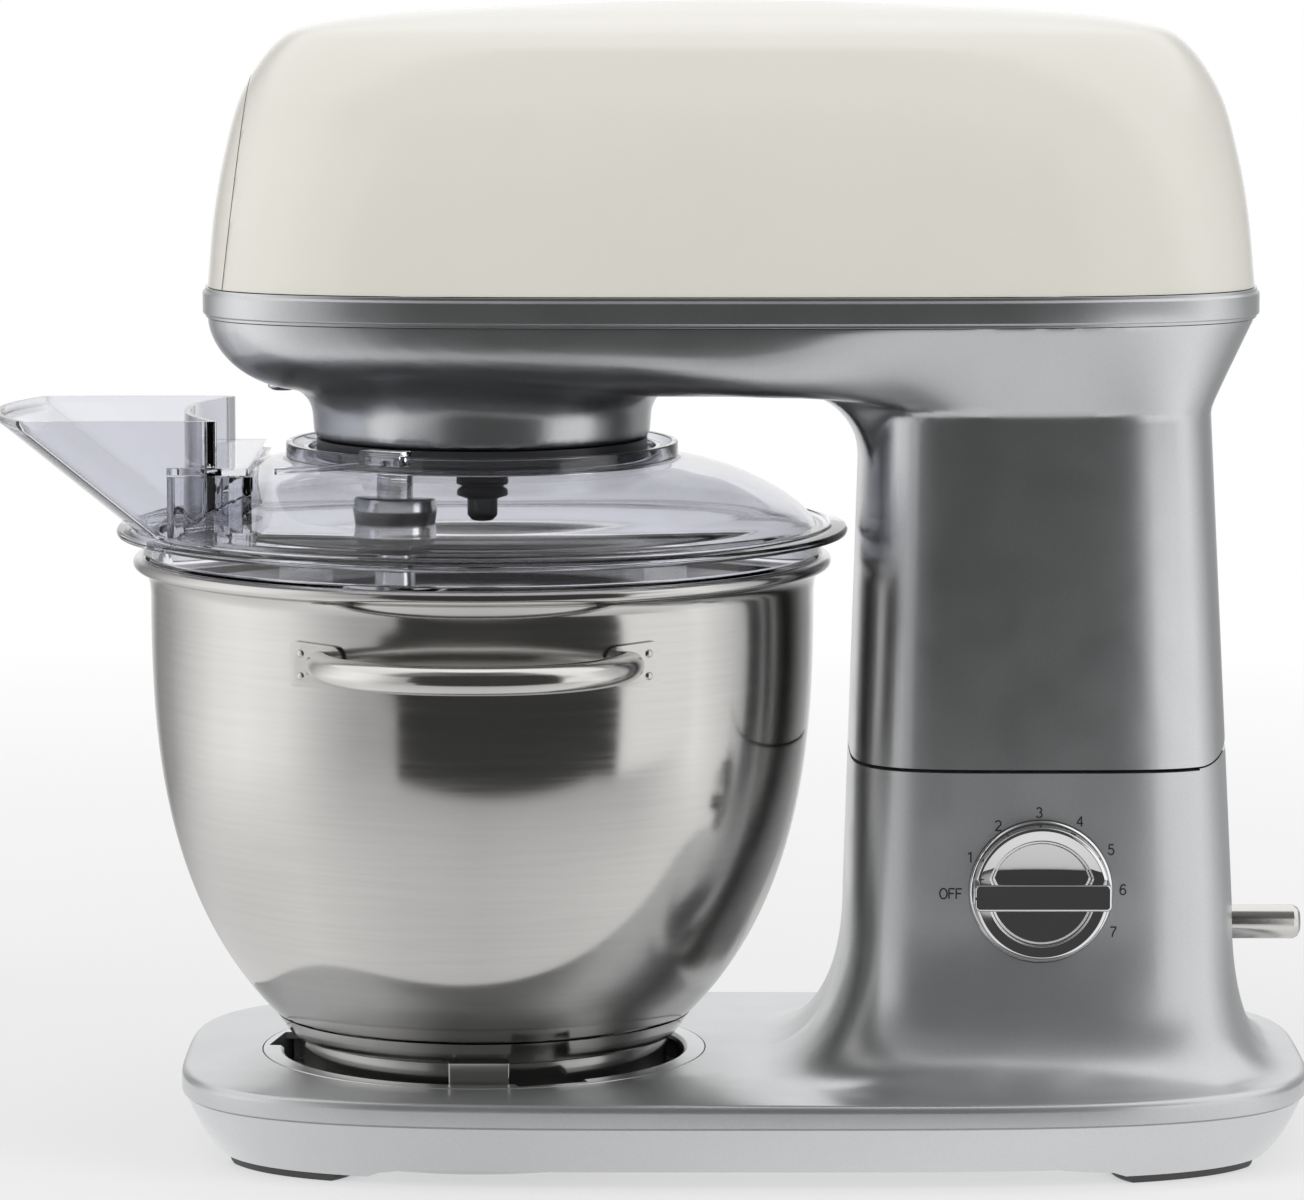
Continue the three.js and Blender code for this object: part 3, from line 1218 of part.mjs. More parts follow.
// Drawn as seen from the front, with the grip along X and z outwards.
function dialKnob() {
  const back = BEZEL_HEIGHT + GAP;
  const inner = DIAL_RADIUS - DIAL_RING_WIDTH;
  const body = revolve(
    [
      [0, back],
      [DIAL_RADIUS - 0.4, back],
      [DIAL_RADIUS, back + 1],
      [DIAL_RADIUS - 1.6, back + 3.4],
      [DIAL_RADIUS - 4, back + 4.2],
      [inner, back + 3.6],
      [inner - 0.4, back + 1.6],
      [0, back + 2.4],
    ],
    32,
  );
  const half = GRIP_WIDTH / 2;
  const grip = new THREE.Shape();
  const reachX = DIAL_RADIUS - 0.9;
  grip.moveTo(-reachX, -half + 1.2);
  grip.lineTo(-reachX + 1.2, -half);
  grip.lineTo(reachX - 1.2, -half);
  grip.lineTo(reachX, -half + 1.2);
  grip.lineTo(reachX, half - 1.2);
  grip.lineTo(reachX - 1.2, half);
  grip.lineTo(-reachX + 1.2, half);
  grip.lineTo(-reachX, half - 1.2);
  const options = { depth: GRIP_HEIGHT - 4, bevelEnabled: true, bevelSize: 1, bevelThickness: 1.2,
    bevelOffset: -1, bevelSegments: 1 };
  const bar = solidFrom(new THREE.ExtrudeGeometry(grip, options).translate(0, 0, back + 2.4));
  const hole = drum("z", DIAL_SHAFT_RADIUS + GAP, back - 5, back + 9);
  return cut(joined(body, bar), hole);
}

const SWITCH_BACK = -22;
const dialShaft = () =>
  revolve([[0, SWITCH_BACK + 3], [DIAL_SHAFT_RADIUS, SWITCH_BACK + 3],
    [DIAL_SHAFT_RADIUS, BEZEL_HEIGHT + 8], [0, BEZEL_HEIGHT + 8]], 16);

function speedSwitch() {
  const front = -CAST_WALL - GAP + 0.6;
  const can = revolve(
    [
      [DIAL_SHAFT_RADIUS + RUN, front],
      [15, front],
      [15, SWITCH_BACK],
      [DIAL_SHAFT_RADIUS + RUN, SWITCH_BACK],
    ],
    24,
  );
  const tags = [-8, 0, 8].map((x) => box(x - 2, x + 2, -19, -12, SWITCH_BACK + 2, SWITCH_BACK + 3));
  return joined(can, ...tags);
}

const BOARD_Y = 36;
const BOARD_THICKNESS = 1.6;
const BOARD_POSTS = [[152, 60], [204, 60], [152, 104], [204, 104]];

const BOARD_LEFT = 146;
const BOARD_BOTTOM = 54;
const BOARD_WIDTH = 64;
const BOARD_HEIGHT = 56;

// The board with a relay, a terminal block and a capacitor on its near face.
function controlBoard() {
  const [x, y, z] = [BOARD_LEFT, BOARD_Y, BOARD_BOTTOM];
  const sunk = y + 0.5;
  const board = box(x, x + BOARD_WIDTH, y, y + BOARD_THICKNESS, z, z + BOARD_HEIGHT);
  const relay = box(x + 4, x + 20, y - 12, sunk, z + 22, z + 40);
  const terminals = box(x + 40, x + 60, y - 9, sunk, z + 12, z + 18);
  const capacitor = drum("y", 6, y - 14, sunk, [x + 30, z + 36], 12);
  return joined(board, relay, terminals, capacitor);
}

// ---- Tilt hinge and latch ----
const STRIKER_X = 207;
const STRIKER_Z = 112;
const STRIKER_RADIUS = 2.5;
const LEVER_PIN_RADIUS = 3;
const LEVER_PIN_HALF = 15;

function hingeBracket() {
  const top = LOWER_TOP_Z - CAST_WALL - GAP;
  const lean = Math.tan(radians(EAR_LEAN));
  const rise = PIVOT_Z - (top - 2);
  const ears = [-1, 1].map((side) => {
    const y = side * (EAR_INNER_Y + EAR_THICKNESS / 2);
    const half = EAR_THICKNESS / 2;
    const eye = drum("y", EAR_RADIUS, y - half, y + half, [PIVOT_X, PIVOT_Z]);
    const neck = outlineOf([
      [PIVOT_X - 3.4, PIVOT_Z],
      [PIVOT_X + 3.4, PIVOT_Z],
      [PIVOT_X + 3.4 - lean * rise, top - 2],
      [PIVOT_X - 3.4 - lean * rise, top - 2],
    ]);
    return joined(eye, plateXZ(neck, y - half, y + half));
  });
  const foot = box(PIVOT_X - 18, PIVOT_X + 1, -38, 38, top - 4, top);
  return joined(foot, ...ears).subtract(drum("y", HINGE_PIN_RADIUS + GAP, -60, 60, [PIVOT_X, PIVOT_Z]));
}

function latchStriker() {
  const bar = drum("y", STRIKER_RADIUS, -9, 9, [STRIKER_X, STRIKER_Z], 12);
  const cheeks = [-1, 1].map((side) => {
    const [y0, y1] = side > 0 ? [8, 10.5] : [-10.5, -8];
    return box(STRIKER_X - 3, STRIKER_X + 3, y0, y1, STRIKER_Z - 3.5, SPLIT_Z - GAP);
  });
  const top = box(STRIKER_X - 3, STRIKER_X + 3, -10.5, 10.5, SPLIT_Z - 2.4, SPLIT_Z - GAP);
  return joined(bar, ...cheeks, top);
}

// The rod that is pressed down, with the hub it turns on.
function leverRod() {
  const hub = drum("y", 8.5, -8, 8, [LEVER_PIVOT_X, LEVER_Z], 24);
  const profile = [
    [0, LEVER_PIVOT_X + 2],
    [LEVER_RADIUS, LEVER_PIVOT_X + 2],
    [LEVER_RADIUS, LEVER_END_X - 2.2],
    [LEVER_RADIUS - 0.8, LEVER_END_X - 0.8],
    [LEVER_RADIUS - 2.4, LEVER_END_X],
    [0, LEVER_END_X],
  ];
  const rod = revolve(profile, 20).rotate([0, 90, 0]).translate([0, 0, LEVER_Z]);
  return joined(hub, rod).subtract(drum("y", LEVER_PIN_RADIUS + RUN, -20, 20, [LEVER_PIVOT_X, LEVER_Z]));
}

// The hook bolted to the hub. Its nose stands just clear of the striker's path.
function latchHook() {
  const nose = STRIKER_X + STRIKER_RADIUS + 0.8;
  const top = STRIKER_Z + 6.5;
  const shape = outlineOf([
    [LEVER_PIVOT_X - 5, LEVER_Z + 8.5 + GAP],
    [LEVER_PIVOT_X + 5, LEVER_Z + 8.5 + GAP],
    [LEVER_PIVOT_X - 1, top - 3],
    [LEVER_PIVOT_X - 3, top],
    [nose + 2, top],
    [nose, STRIKER_Z + 3],
    [LEVER_PIVOT_X - 7, STRIKER_Z + 3],
  ]);
  return plateXZ(shape, -3, 3);
}

const crossPin = (radius, half) => drum("y", radius, -half, half, [0, 0], 16);

// A torsion spring wound round one of the lever's posts.
function leverSpring() {
  const turns = 2.5;
  const count = 30;
  const wire = 0.9;
  const radius = LEVER_POST_RADIUS + RUN + wire;
  const points = Array.from({ length: count + 1 }, (_, i) => {
    const a = (i / count) * turns * TURN;
    return new THREE.Vector3(radius * Math.cos(a), (i / count) * 7, radius * Math.sin(a));
  });
  const section = new THREE.Shape().absarc(0, 0, wire, 0, TURN);
  const extrudePath = new THREE.CatmullRomCurve3(points);
  const options = { steps: 30, curveSegments: 2, bevelEnabled: false, extrudePath };
  return solidFrom(new THREE.ExtrudeGeometry(section, options));
}

// ---- Finishes ----
const FINISHES = {
  cream: [0xe1ded0, 0.22, 0],
  silver: [0xb9bcbd, 0.36, 0.75],
  satin: [0xa9abac, 0.3, 0.9],
  steel: [0xc4c4c2, 0.22, 1],
  chrome: [0xdcdcdc, 0.07, 1],
  clear: [0xe4e6f2, 0.08, 0],
  dark: [0x2b2c2e, 0.5, 0],
  rubber: [0x37383a, 0.8, 0],
  brass: [0xb59a58, 0.35, 1],
  nylon: [0xe8e4d8, 0.5, 0],
  copper: [0x9a5b34, 0.4, 1],
  board: [0x2d5a3a, 0.6, 0],
};

function piece(name, solid, finish) {
  const [color, roughness, metalness] = FINISHES[finish];
  const material = new THREE.MeshStandardMaterial({ color, roughness, metalness });
  if (finish === "clear") {
    material.transparent = true;
    material.opacity = 0.35;
  }
  const mesh = new THREE.Mesh(geometryFrom(solid), material);
  mesh.name = name;
  return mesh;
}

function placed(mesh, x, y, z) {
  mesh.position.set(x, y, z);
  return mesh;
}

// ---- Assembly ----
function baseGroup() {
  const group = new THREE.Group();
  const hingePin = crossPin(HINGE_PIN_RADIUS, EAR_INNER_Y + EAR_THICKNESS + 6);
  const leverPin = crossPin(LEVER_PIN_RADIUS, LEVER_PIN_HALF);
  group.add(
    piece("base_casting", baseCasting(), "silver"),
    piece("base_tray", baseTray(), "silver"),
    piece("bowl_lock_ring", lockRing(), "satin"),
    piece("centre_foot", centreFoot(), "silver"),
    piece("cord_gland", cordGland(), "rubber"),
    piece("control_board", controlBoard(), "board"),
    piece("hinge_bracket", hingeBracket(), "steel"),
    placed(piece("hinge_pin", hingePin, "steel"), PIVOT_X, 0, PIVOT_Z),
    placed(piece("lever_pin", leverPin, "steel"), LEVER_PIVOT_X, 0, LEVER_Z),
    placed(piece("lever_spring", leverSpring(), "steel"), LEVER_PIVOT_X, LEVER_POST_Y + 3, LEVER_Z),
  );
  LEGS.forEach((place, i) => group.add(piece(`foot_${i + 1}`, cornerPad(place), "rubber")));
  const fixedDial = new THREE.Group();
  fixedDial.position.set(DIAL_X, DIAL_FACE_Y, DIAL_Z);
  fixedDial.rotation.x = Math.PI / 2;
  fixedDial.add(piece("dial_bezel", dialBezel(), "chrome"));
  fixedDial.add(piece("speed_switch", speedSwitch(), "dark"));
  group.add(fixedDial);
  return group;
}

function dialGroup() {
  const group = new THREE.Group();
  group.position.set(DIAL_X, DIAL_FACE_Y, DIAL_Z);
  group.rotation.x = Math.PI / 2;
  group.add(piece("dial_knob", dialKnob(), "chrome"), piece("dial_shaft", dialShaft(), "steel"));
  return group;
}

function leverGroup() {
  const group = new THREE.Group();
  group.add(piece("release_lever", leverRod(), "steel"), piece("latch_hook", latchHook(), "steel"));
  return group;
}

function bowlGroup() {
  const group = new THREE.Group();
  group.add(
    piece("bowl", bowl(), "steel"),
    piece("bowl_foot", bowlFoot(), "steel"),
    piece("bowl_handle", handleTube(), "steel"),
    piece("handle_bracket_left", handleBracket(-1), "steel"),
    piece("handle_bracket_right", handleBracket(1), "steel"),
  );
  return group;
}

function headGroup() {
  const group = new THREE.Group();
  const bearingX = (x) => {
    const mesh = piece(`motor_bearing_${x < COUNTER_X ? "front" : x > STATOR_X0 ? "rear" : "middle"}`,
      bearing(MOTOR_SHAFT_RADIUS), "steel");
    mesh.rotation.y = Math.PI / 2;
    return placed(mesh, x + BEARING_WIDTH / 2, 0, MOTOR_Z);
  };
  group.add(
    piece("arm_casting", armCasting(), "silver"),
    piece("trim_band", trimBand(), "satin"),
    piece("top_cover", topCover(), "cream"),
    piece("front_cap", frontCap(), "cream"),
    placed(piece("underside_fitting", undersideFitting(), "chrome"), CAP_FITTING_X, 0, 0),
    piece("lid_mount_ring", mountRing(), "dark"),
    piece("splash_lid", lid(), "clear"),
    piece("feed_chute", feedChute(), "clear"),
    piece("chute_clip_near", chuteClip(-1), "clear"),
    piece("chute_clip_far", chuteClip(1), "clear"),
    piece("latch_striker", latchStriker(), "steel"),
    piece("gearbox_frame", gearboxFrame(), "satin"),
    placed(piece("ring_gear", ringGear(), "nylon"), 0, 0, RING_Z),
    placed(piece("hub_bearing", bearing(MAIN_SHAFT_RADIUS), "steel"), 0, 0, FRAME_Z + BEARING_WIDTH / 2),
    bearingX(FRONT_BEARING_X),
    bearingX(MIDDLE_BEARING_X),
    bearingX(END_BEARING_X),
    placed(piece("motor_stator", motorStator(), "copper"), (STATOR_X0 + STATOR_X1) / 2, 0, MOTOR_Z),
    piece("motor_end_bracket", motorEndBracket(), "satin"),
  );
  return group;
}

function rotorGroup() {
  const group = new THREE.Group();
  group.position.set(COUNTER_X, 0, MOTOR_Z);
  group.add(piece("motor_shaft", motorShaft(), "steel"));
  const onShaft = new THREE.Group();
  onShaft.rotation.y = Math.PI / 2;
  const inner = MOTOR_SHAFT_RADIUS + GAP;
  const along = (mesh, x) => placed(mesh, 0, 0, x - COUNTER_X);
  const core = sleeve(inner, STATOR_BORE - 1, STATOR_X1 - STATOR_X0 - 2, 28);
  onShaft.add(
    along(piece("armature", core, "copper"), STATOR_X0 + 1),
    along(piece("commutator", sleeve(inner, 12, 14), "copper"), STATOR_X1 + 5),
    along(piece("cooling_fan", coolingFan(), "dark"), FAN_X),
  );
  group.add(onShaft);
  return group;
}

function counterGroup() {
  const group = new THREE.Group();
  group.position.set(COUNTER_X, COUNTER_Y, 0);
  const top = MOTOR_Z + WHEEL_FACE / 2 + 3;
  const shaft = drum("z", COUNTER_SHAFT_RADIUS, FRAME_Z + 1 + GAP, top);
  const teeth = gearDisc(PINION_TEETH, MAIN_MODULE, COUNTER_SHAFT_RADIUS + GAP, SPUR_FACE);
  const pinion = piece("counter_pinion", teeth, "steel");
  pinion.rotation.z = COUNTER_ANGLE + Math.PI + Math.PI / PINION_TEETH;
  const wheel = piece("worm_wheel", wormWheel(), "brass");
  wheel.rotation.z = -Math.PI / 2;
  group.add(
    piece("counter_shaft", shaft, "steel"),
    placed(pinion, 0, 0, GEAR_Z),
    placed(wheel, 0, 0, MOTOR_Z),
  );
  return group;
}

function carrierGroup() {
  const group = new THREE.Group();
  const shaft = drum("z", MAIN_SHAFT_RADIUS, CARRIER_TOP + GAP, BRIDGE_Z + BRIDGE_PLATE);
  const teeth = gearDisc(MAIN_TEETH, MAIN_MODULE, MAIN_SHAFT_RADIUS + GAP, SPUR_FACE);
  const gear = piece("main_gear", teeth, "steel");
  gear.rotation.z = COUNTER_ANGLE;
  group.add(
    piece("planet_carrier", planetCarrier(), "dark"),
    piece("main_shaft", shaft, "steel"),
    placed(gear, 0, 0, GEAR_Z),
  );
  return group;
}

function beaterGroup() {
  const group = new THREE.Group();
  group.position.x = -OFFSET;
  const planet = gearDisc(PLANET_TEETH, PLANET_MODULE, BEATER_SHAFT_RADIUS + GAP, RING_FACE - 1);
  group.add(
    piece("beater_shaft", beaterShaft(), "steel"),
    placed(piece("planet_gear", planet, "steel"), 0, 0, RING_Z + 0.5),
    piece("tool_coupling", toolCoupling(), "steel"),
    piece("dough_hook", doughHook(), "steel"),
  );
  return group;
}

const group = new THREE.Group();
group.add(
  baseGroup(),
  dialGroup(),
  leverGroup(),
  bowlGroup(),
  headGroup(),
  rotorGroup(),
  counterGroup(),
  carrierGroup(),
  beaterGroup(),
);

export default group;
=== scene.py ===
import json
import math
from contextlib import contextmanager

import bmesh
import bpy
import numpy as np
import openvdb
from mathutils import Matrix, Vector

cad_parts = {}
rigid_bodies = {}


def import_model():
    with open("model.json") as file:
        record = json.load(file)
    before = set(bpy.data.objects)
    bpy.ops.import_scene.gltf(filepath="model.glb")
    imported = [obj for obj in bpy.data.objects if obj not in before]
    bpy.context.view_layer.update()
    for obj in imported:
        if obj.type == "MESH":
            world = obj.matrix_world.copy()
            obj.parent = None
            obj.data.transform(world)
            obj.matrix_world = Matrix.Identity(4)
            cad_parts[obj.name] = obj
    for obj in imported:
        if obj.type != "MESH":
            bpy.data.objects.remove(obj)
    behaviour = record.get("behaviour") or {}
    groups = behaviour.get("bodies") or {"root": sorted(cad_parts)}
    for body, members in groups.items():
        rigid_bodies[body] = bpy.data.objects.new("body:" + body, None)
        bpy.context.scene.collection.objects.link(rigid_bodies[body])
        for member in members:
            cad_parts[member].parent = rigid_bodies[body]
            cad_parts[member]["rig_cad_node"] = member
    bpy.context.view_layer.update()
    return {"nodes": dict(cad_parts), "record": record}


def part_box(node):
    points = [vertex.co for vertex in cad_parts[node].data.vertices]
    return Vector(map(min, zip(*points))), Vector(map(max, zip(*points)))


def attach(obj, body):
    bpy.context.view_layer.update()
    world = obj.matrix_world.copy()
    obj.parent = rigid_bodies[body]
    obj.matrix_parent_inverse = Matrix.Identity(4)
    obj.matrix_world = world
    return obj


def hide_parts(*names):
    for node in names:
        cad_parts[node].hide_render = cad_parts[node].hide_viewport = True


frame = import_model()

MM = 0.001
TURN = 2 * math.pi


def top_of(node):
    """The height of a CAD node's highest point, in millimetres."""
    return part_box(node)[1][2] / MM


# ---- mesh helpers


def add_object(name, data):
    obj = bpy.data.objects.new(name, data)
    bpy.context.scene.collection.objects.link(obj)
    return obj


@contextmanager
def editing(mesh):
    edit = bmesh.new()
    edit.from_mesh(mesh)
    yield edit
    edit.to_mesh(mesh)
    edit.free()


def mesh_object(name, points, faces):
    mesh = bpy.data.meshes.new(name)
    mesh.from_pydata((np.asarray(points, float) * MM).tolist(), [], faces)
    with editing(mesh) as edit:
        bmesh.ops.remove_doubles(edit, verts=edit.verts, dist=1e-7)
        bmesh.ops.recalc_face_normals(edit, faces=edit.faces)
    return add_object(name, mesh)


def finish_shading(obj, sharp=32):
    """Smooth faces, with a crease wherever two faces meet at more than this many degrees."""
    limit = math.radians(sharp)
    with editing(obj.data) as edit:
        for face in edit.faces:
            face.smooth = True
        for edge in edit.edges:
            edge.smooth = len(edge.link_faces) == 2 and edge.calc_face_angle(0) < limit
    return obj


def even_shading(obj):
    """Keeps flat faces flat beside rounded edges."""
    step = obj.modifiers.new("even", "WEIGHTED_NORMAL")
    step.keep_sharp = True
    return settle(obj)


def settle(obj):
    """Applies an object's modifiers to its mesh."""
    graph = bpy.context.evaluated_depsgraph_get()
    mesh = bpy.data.meshes.new_from_object(obj.evaluated_get(graph))
    obj.modifiers.clear()
    old = obj.data
    obj.data = mesh
    bpy.data.meshes.remove(old)
    return obj


def combine(obj, operation, *tools):
    """Cuts tools from an object, joins them to it or keeps what they share."""
    for tool in tools:
        step = obj.modifiers.new("combine", "BOOLEAN")
        step.operation = operation
        step.object = tool
        step.solver = "MANIFOLD"
        settle(obj)
        bpy.data.objects.remove(tool)
    return obj


def cut(obj, *tools):
    return combine(obj, "DIFFERENCE", *tools)


def join(obj, *tools):
    return combine(obj, "UNION", *tools)


def bevelled(obj, width, segments, angle):
    step = obj.modifiers.new("round", "BEVEL")
    step.width = width * MM
    step.segments = segments
    step.limit_method = "ANGLE"
    step.angle_limit = math.radians(angle)
    return settle(obj)


def rounded(points, closed=False, steps=6):
    """Rounds the corners of a flat line. Each point is (u, v) or (u, v, radius)."""
    out = []
    count = len(points)
    for i, point in enumerate(points):
        here = np.array(point[:2], float)
        out.append(here)
        radius = point[2] if len(point) > 2 else 0
        if radius <= 0 or not closed and i in (0, count - 1):
            continue
        before = np.array(points[i - 1][:2], float) - here
        after = np.array(points[(i + 1) % count][:2], float) - here
        a, b = np.linalg.norm(before), np.linalg.norm(after)
        before, after = before / a, after / b
        between = math.acos(np.clip(before @ after, -1, 1))
        if between > math.pi - 0.02:
            continue
        length = min(radius / math.tan(between / 2), 0.49 * a, 0.49 * b)
        start, end = here + before * length, here + after * length
        inward = (before + after) / np.linalg.norm(before + after)
        middle = here + inward * length / math.cos(between / 2)
        radius = length * math.tan(between / 2)
        turn = math.pi - between
        spans = max(1, math.ceil(turn / (math.pi / 2) * steps))
        first, last = start - middle, end - middle
        out.pop()
        for k in range(spans + 1):
            share = k / spans
            blend = math.sin((1 - share) * turn) * first + math.sin(share * turn) * last
            out.append(middle + blend / math.sin(turn))
    return [tuple(p) for p in out]


def oblong(u0, u1, half, r0=0, r1=0):
    """A rectangle's corners, with one corner radius at each end."""
    return [(u0, -half, r0), (u1, -half, r1), (u1, half, r1), (u0, half, r0)]


def sweep(u, v, across, up, start, end, count=14):
    """Points on an arc, its angles in degrees."""
    turns = np.radians(np.linspace(start, end, count))
    return [(u + across * math.cos(a), v + up * math.sin(a)) for a in turns]


def circle(radius, centre, segments):
    turns = [i / segments * TURN for i in range(segments)]
    return [(centre[0] + radius * math.cos(a), centre[1] + radius * math.sin(a)) for a in turns]


def revolve(name, profile, segments, centre=(0, 0), closed=False, steps=6):
    """Turns a profile of (radius, z[, corner radius]) points about a vertical axis."""
    points, rows, faces = [], [], []
    for r, z in rounded(profile, closed, steps):
        at_pole = r < 1e-6
        start = len(points)
        points += [(*p, z) for p in ([centre] if at_pole else circle(r, centre, segments))]
        rows.append([start] * segments if at_pole else range(start, start + segments))
    for low, high in zip(rows, rows[1:] + rows[:1] if closed else rows[1:]):
        for i in range(segments):
            j = (i + 1) % segments
            corners = tuple(dict.fromkeys((low[i], low[j], high[j], high[i])))
            if len(corners) > 2:
                faces.append(corners)
    return finish_shading(mesh_object(name, points, faces))


def loft(name, rings, wrap=False):
    """A skin through rings of equal count. It closes on itself, or ends in flat caps."""
    rings = [np.asarray(ring, float) for ring in rings]
    count = len(rings[0])
    points = np.concatenate(rings)
    faces = []
    spans = len(rings) if wrap else len(rings) - 1
    for k in range(spans):
        a, b = k * count, (k + 1) % len(rings) * count
        for i in range(count):
            j = (i + 1) % count
            faces.append((a + i, a + j, b + j, b + i))
    if not wrap:
        faces.append(tuple(range(count))[::-1])
        faces.append(tuple(range((len(rings) - 1) * count, len(rings) * count)))
    return mesh_object(name, points, faces)


def block(x0, x1, y0, y1, z0, z1):
    corners = [(x, y, z) for x in (x0, x1) for y in (y0, y1) for z in (z0, z1)]
    faces = [(0, 1, 3, 2), (4, 6, 7, 5), (0, 4, 5, 1), (2, 3, 7, 6), (0, 2, 6, 4), (1, 5, 7, 3)]
    return mesh_object("block", corners, faces)


def slab(name, outline, low, high, plane="xy", steps=6):
    """A flat outline of (u, v[, corner radius]) points given thickness across its plane."""
    line = rounded(outline, True, steps)
    rings = np.array([[(*p, w) for p in line] for w in (low, high)])
    return loft(name, rings[..., {"xy": (0, 1, 2), "xz": (0, 2, 1), "yz": (2, 0, 1)}[plane]])


def drum(axis, radius, low, high, centre=(0, 0), segments=64):
    plane = {"x": "yz", "y": "xz", "z": "xy"}[axis]
    return slab("drum", circle(radius, centre, segments), low, high, plane)


def headings(line):
    """The unit direction of a line's run at each of its points."""
    ahead = np.gradient(np.asarray(line, float), axis=0)
    return ahead / np.linalg.norm(ahead, axis=1)[:, None]


def tube(name, path, radius, segments=32, ends=4):
    """A rod along a line of points, with ends rounded in this many steps."""

    def cap(ring, point, out):
        turns = [(k + 0.5) / (ends + 0.5) * math.pi / 2 for k in range(ends)]
        flat = np.array(ring) - point
        return [list(point + out * math.cos(t) + flat * math.sin(t)) for t in turns]

    path, ahead = np.asarray(path, float), headings(path)
    side = np.cross(ahead[0], (0.3, 0.2, 1.0))
    side /= np.linalg.norm(side)
    rings = []
    for i, (point, forward) in enumerate(zip(path, ahead)):
        side = side - forward * (side @ forward)
        side /= np.linalg.norm(side)
        up = np.cross(forward, side)
        here = radius[i] if np.ndim(radius) else radius
        ring = [point + here * (c * side + s * up) for c, s in circle(1, (0, 0), segments)]
        if i == 0:
            rings += cap(ring, point, -forward * here * 0.5)
        rings.append(ring)
        if i == len(path) - 1:
            rings += cap(ring, point, forward * here * 0.5)[::-1]
    return finish_shading(loft(name, rings), 50)


def smooth_line(points, count):
    """A smooth line of this many points through a few given ones."""
    points = np.asarray(points, float)
    padded = np.vstack([2 * points[0] - points[1], points, 2 * points[-1] - points[-2]])
    out = []
    for s in np.linspace(0, len(points) - 1, count):
        i = min(int(s), len(points) - 2)
        t = s - i
        a, b, c, d = padded[i : i + 4]
        square, cube = 2 * a - 5 * b + 4 * c - d, 3 * b - a - 3 * c + d
        out.append(0.5 * (2 * b + (c - a) * t + square * t**2 + cube * t**3))
    return np.array(out)


# ---- shared sizes and outlines

COLUMN_X = 184
SPLIT_Z = 131
SEAM = 1.2
WALL, THIN_WALL = 3.2, 2.4
PIVOT_X, PIVOT_Z, KNUCKLE = 235, 142, 11
EAR_Y, EAR_HALF = 17.5, 3.8
UNDERSIDE_Z = 252
BAND_Z, COVER_Z = 276.3, 286.3
SLOPE_END_Z = 247.5
UNDER_ROUND, FRONT_ROUND, ARCH_ROUND = 35, 28, 25
FLARE_TOP, FLARE_POWER, DECK_Z = 82, 2.3, 29.3
NOSE_R = 55.5
TOOL_AT = (-29, 0)
LOCK_RING_R, CENTRE_FOOT_R, FIT = 74, 70, 0.3
DIAL_X, DIAL_Z, DIAL_FACE = 182.9, 91.2, -54.4
SHAFT_R = 3.5
LEVER_X, LEVER_Z, LEVER_DROP, LEVER_SLOT = 222, 71.7, 7.4, 6.2
CORD_Y, CORD_Z = 40, 15


class Outline:
    """A rounded rectangle with its long side on X."""

    def __init__(self, front, rear, half_width, power):
        self.front, self.rear, self.half_width, self.power = front, rear, half_width, power
        self.middle, self.half = (front + rear) / 2, (rear - front) / 2

    def inset(self, d):
        return Outline(self.front + d, self.rear - d, self.half_width - d, self.power)

    def reach(self, angles):
        """Distance from (COLUMN_X, 0) to the outline in each direction."""
        near = np.zeros_like(angles)
        far = near + 3 * self.half
        for _ in range(40):
            r = (near + far) / 2
            x = np.abs(COLUMN_X + r * np.cos(angles) - self.middle) / self.half
            y = np.abs(r * np.sin(angles)) / self.half_width
            outside = x**self.power + y**self.power > 1
            far = np.where(outside, r, far)
            near = np.where(outside, near, r)
        return near

    def points(self, count):
        """Points evenly spaced along the outline, starting at the rear."""
        t = np.linspace(0, TURN, 7201)
        bend = lambda c: np.sign(c) * np.abs(c) ** (2 / self.power)
        x = self.middle + self.half * bend(np.cos(t))
        y = self.half_width * bend(np.sin(t))
        along = np.concatenate([[0], np.cumsum(np.hypot(np.diff(x), np.diff(y)))])
        wanted = np.arange(count) / count * along[-1]
        return np.column_stack([np.interp(wanted, along, x), np.interp(wanted, along, y)])

    def ring(self, count, z):
        return np.column_stack([self.points(count), np.full(count, z)])


def column(z, d=0):
    """The column's outline at a height, inset by d."""
    up = z - SPLIT_Z
    return Outline(122 + 0.031 * up, 246 - 0.053 * up, 55.3, 4.1).inset(d)


HEAD = Outline(-89.7, 254.1, 76, 3.6)
BASE = Outline(-99.7, 273.3, 102, 3.7)


def directions(wide):
    """Angles about (COLUMN_X, 0) that serve a wide outline and the column's."""
    p = np.concatenate([shape.points(230) for shape in (wide, column(SPLIT_Z))])
    kept = []
    for angle in sorted(np.arctan2(p[:, 1], p[:, 0] - COLUMN_X) % TURN):
        if not kept or angle - kept[-1] > math.radians(0.35):
            kept.append(angle)
    return np.array(kept)


def polar_rings(angles, levels):
    """Rings from (reach per direction, height per direction) pairs."""
    x, y = np.cos(angles), np.sin(angles)
    return [np.column_stack([COLUMN_X + r * x, r * y, 0 * x + z]) for r, z in levels]


# ---- arm casting


def smooth_step(t):
    t = np.clip(t, 0, 1)
    return t * t * (3 - 2 * t)


def quarter(count):
    return np.linspace(0, math.pi / 2, count)


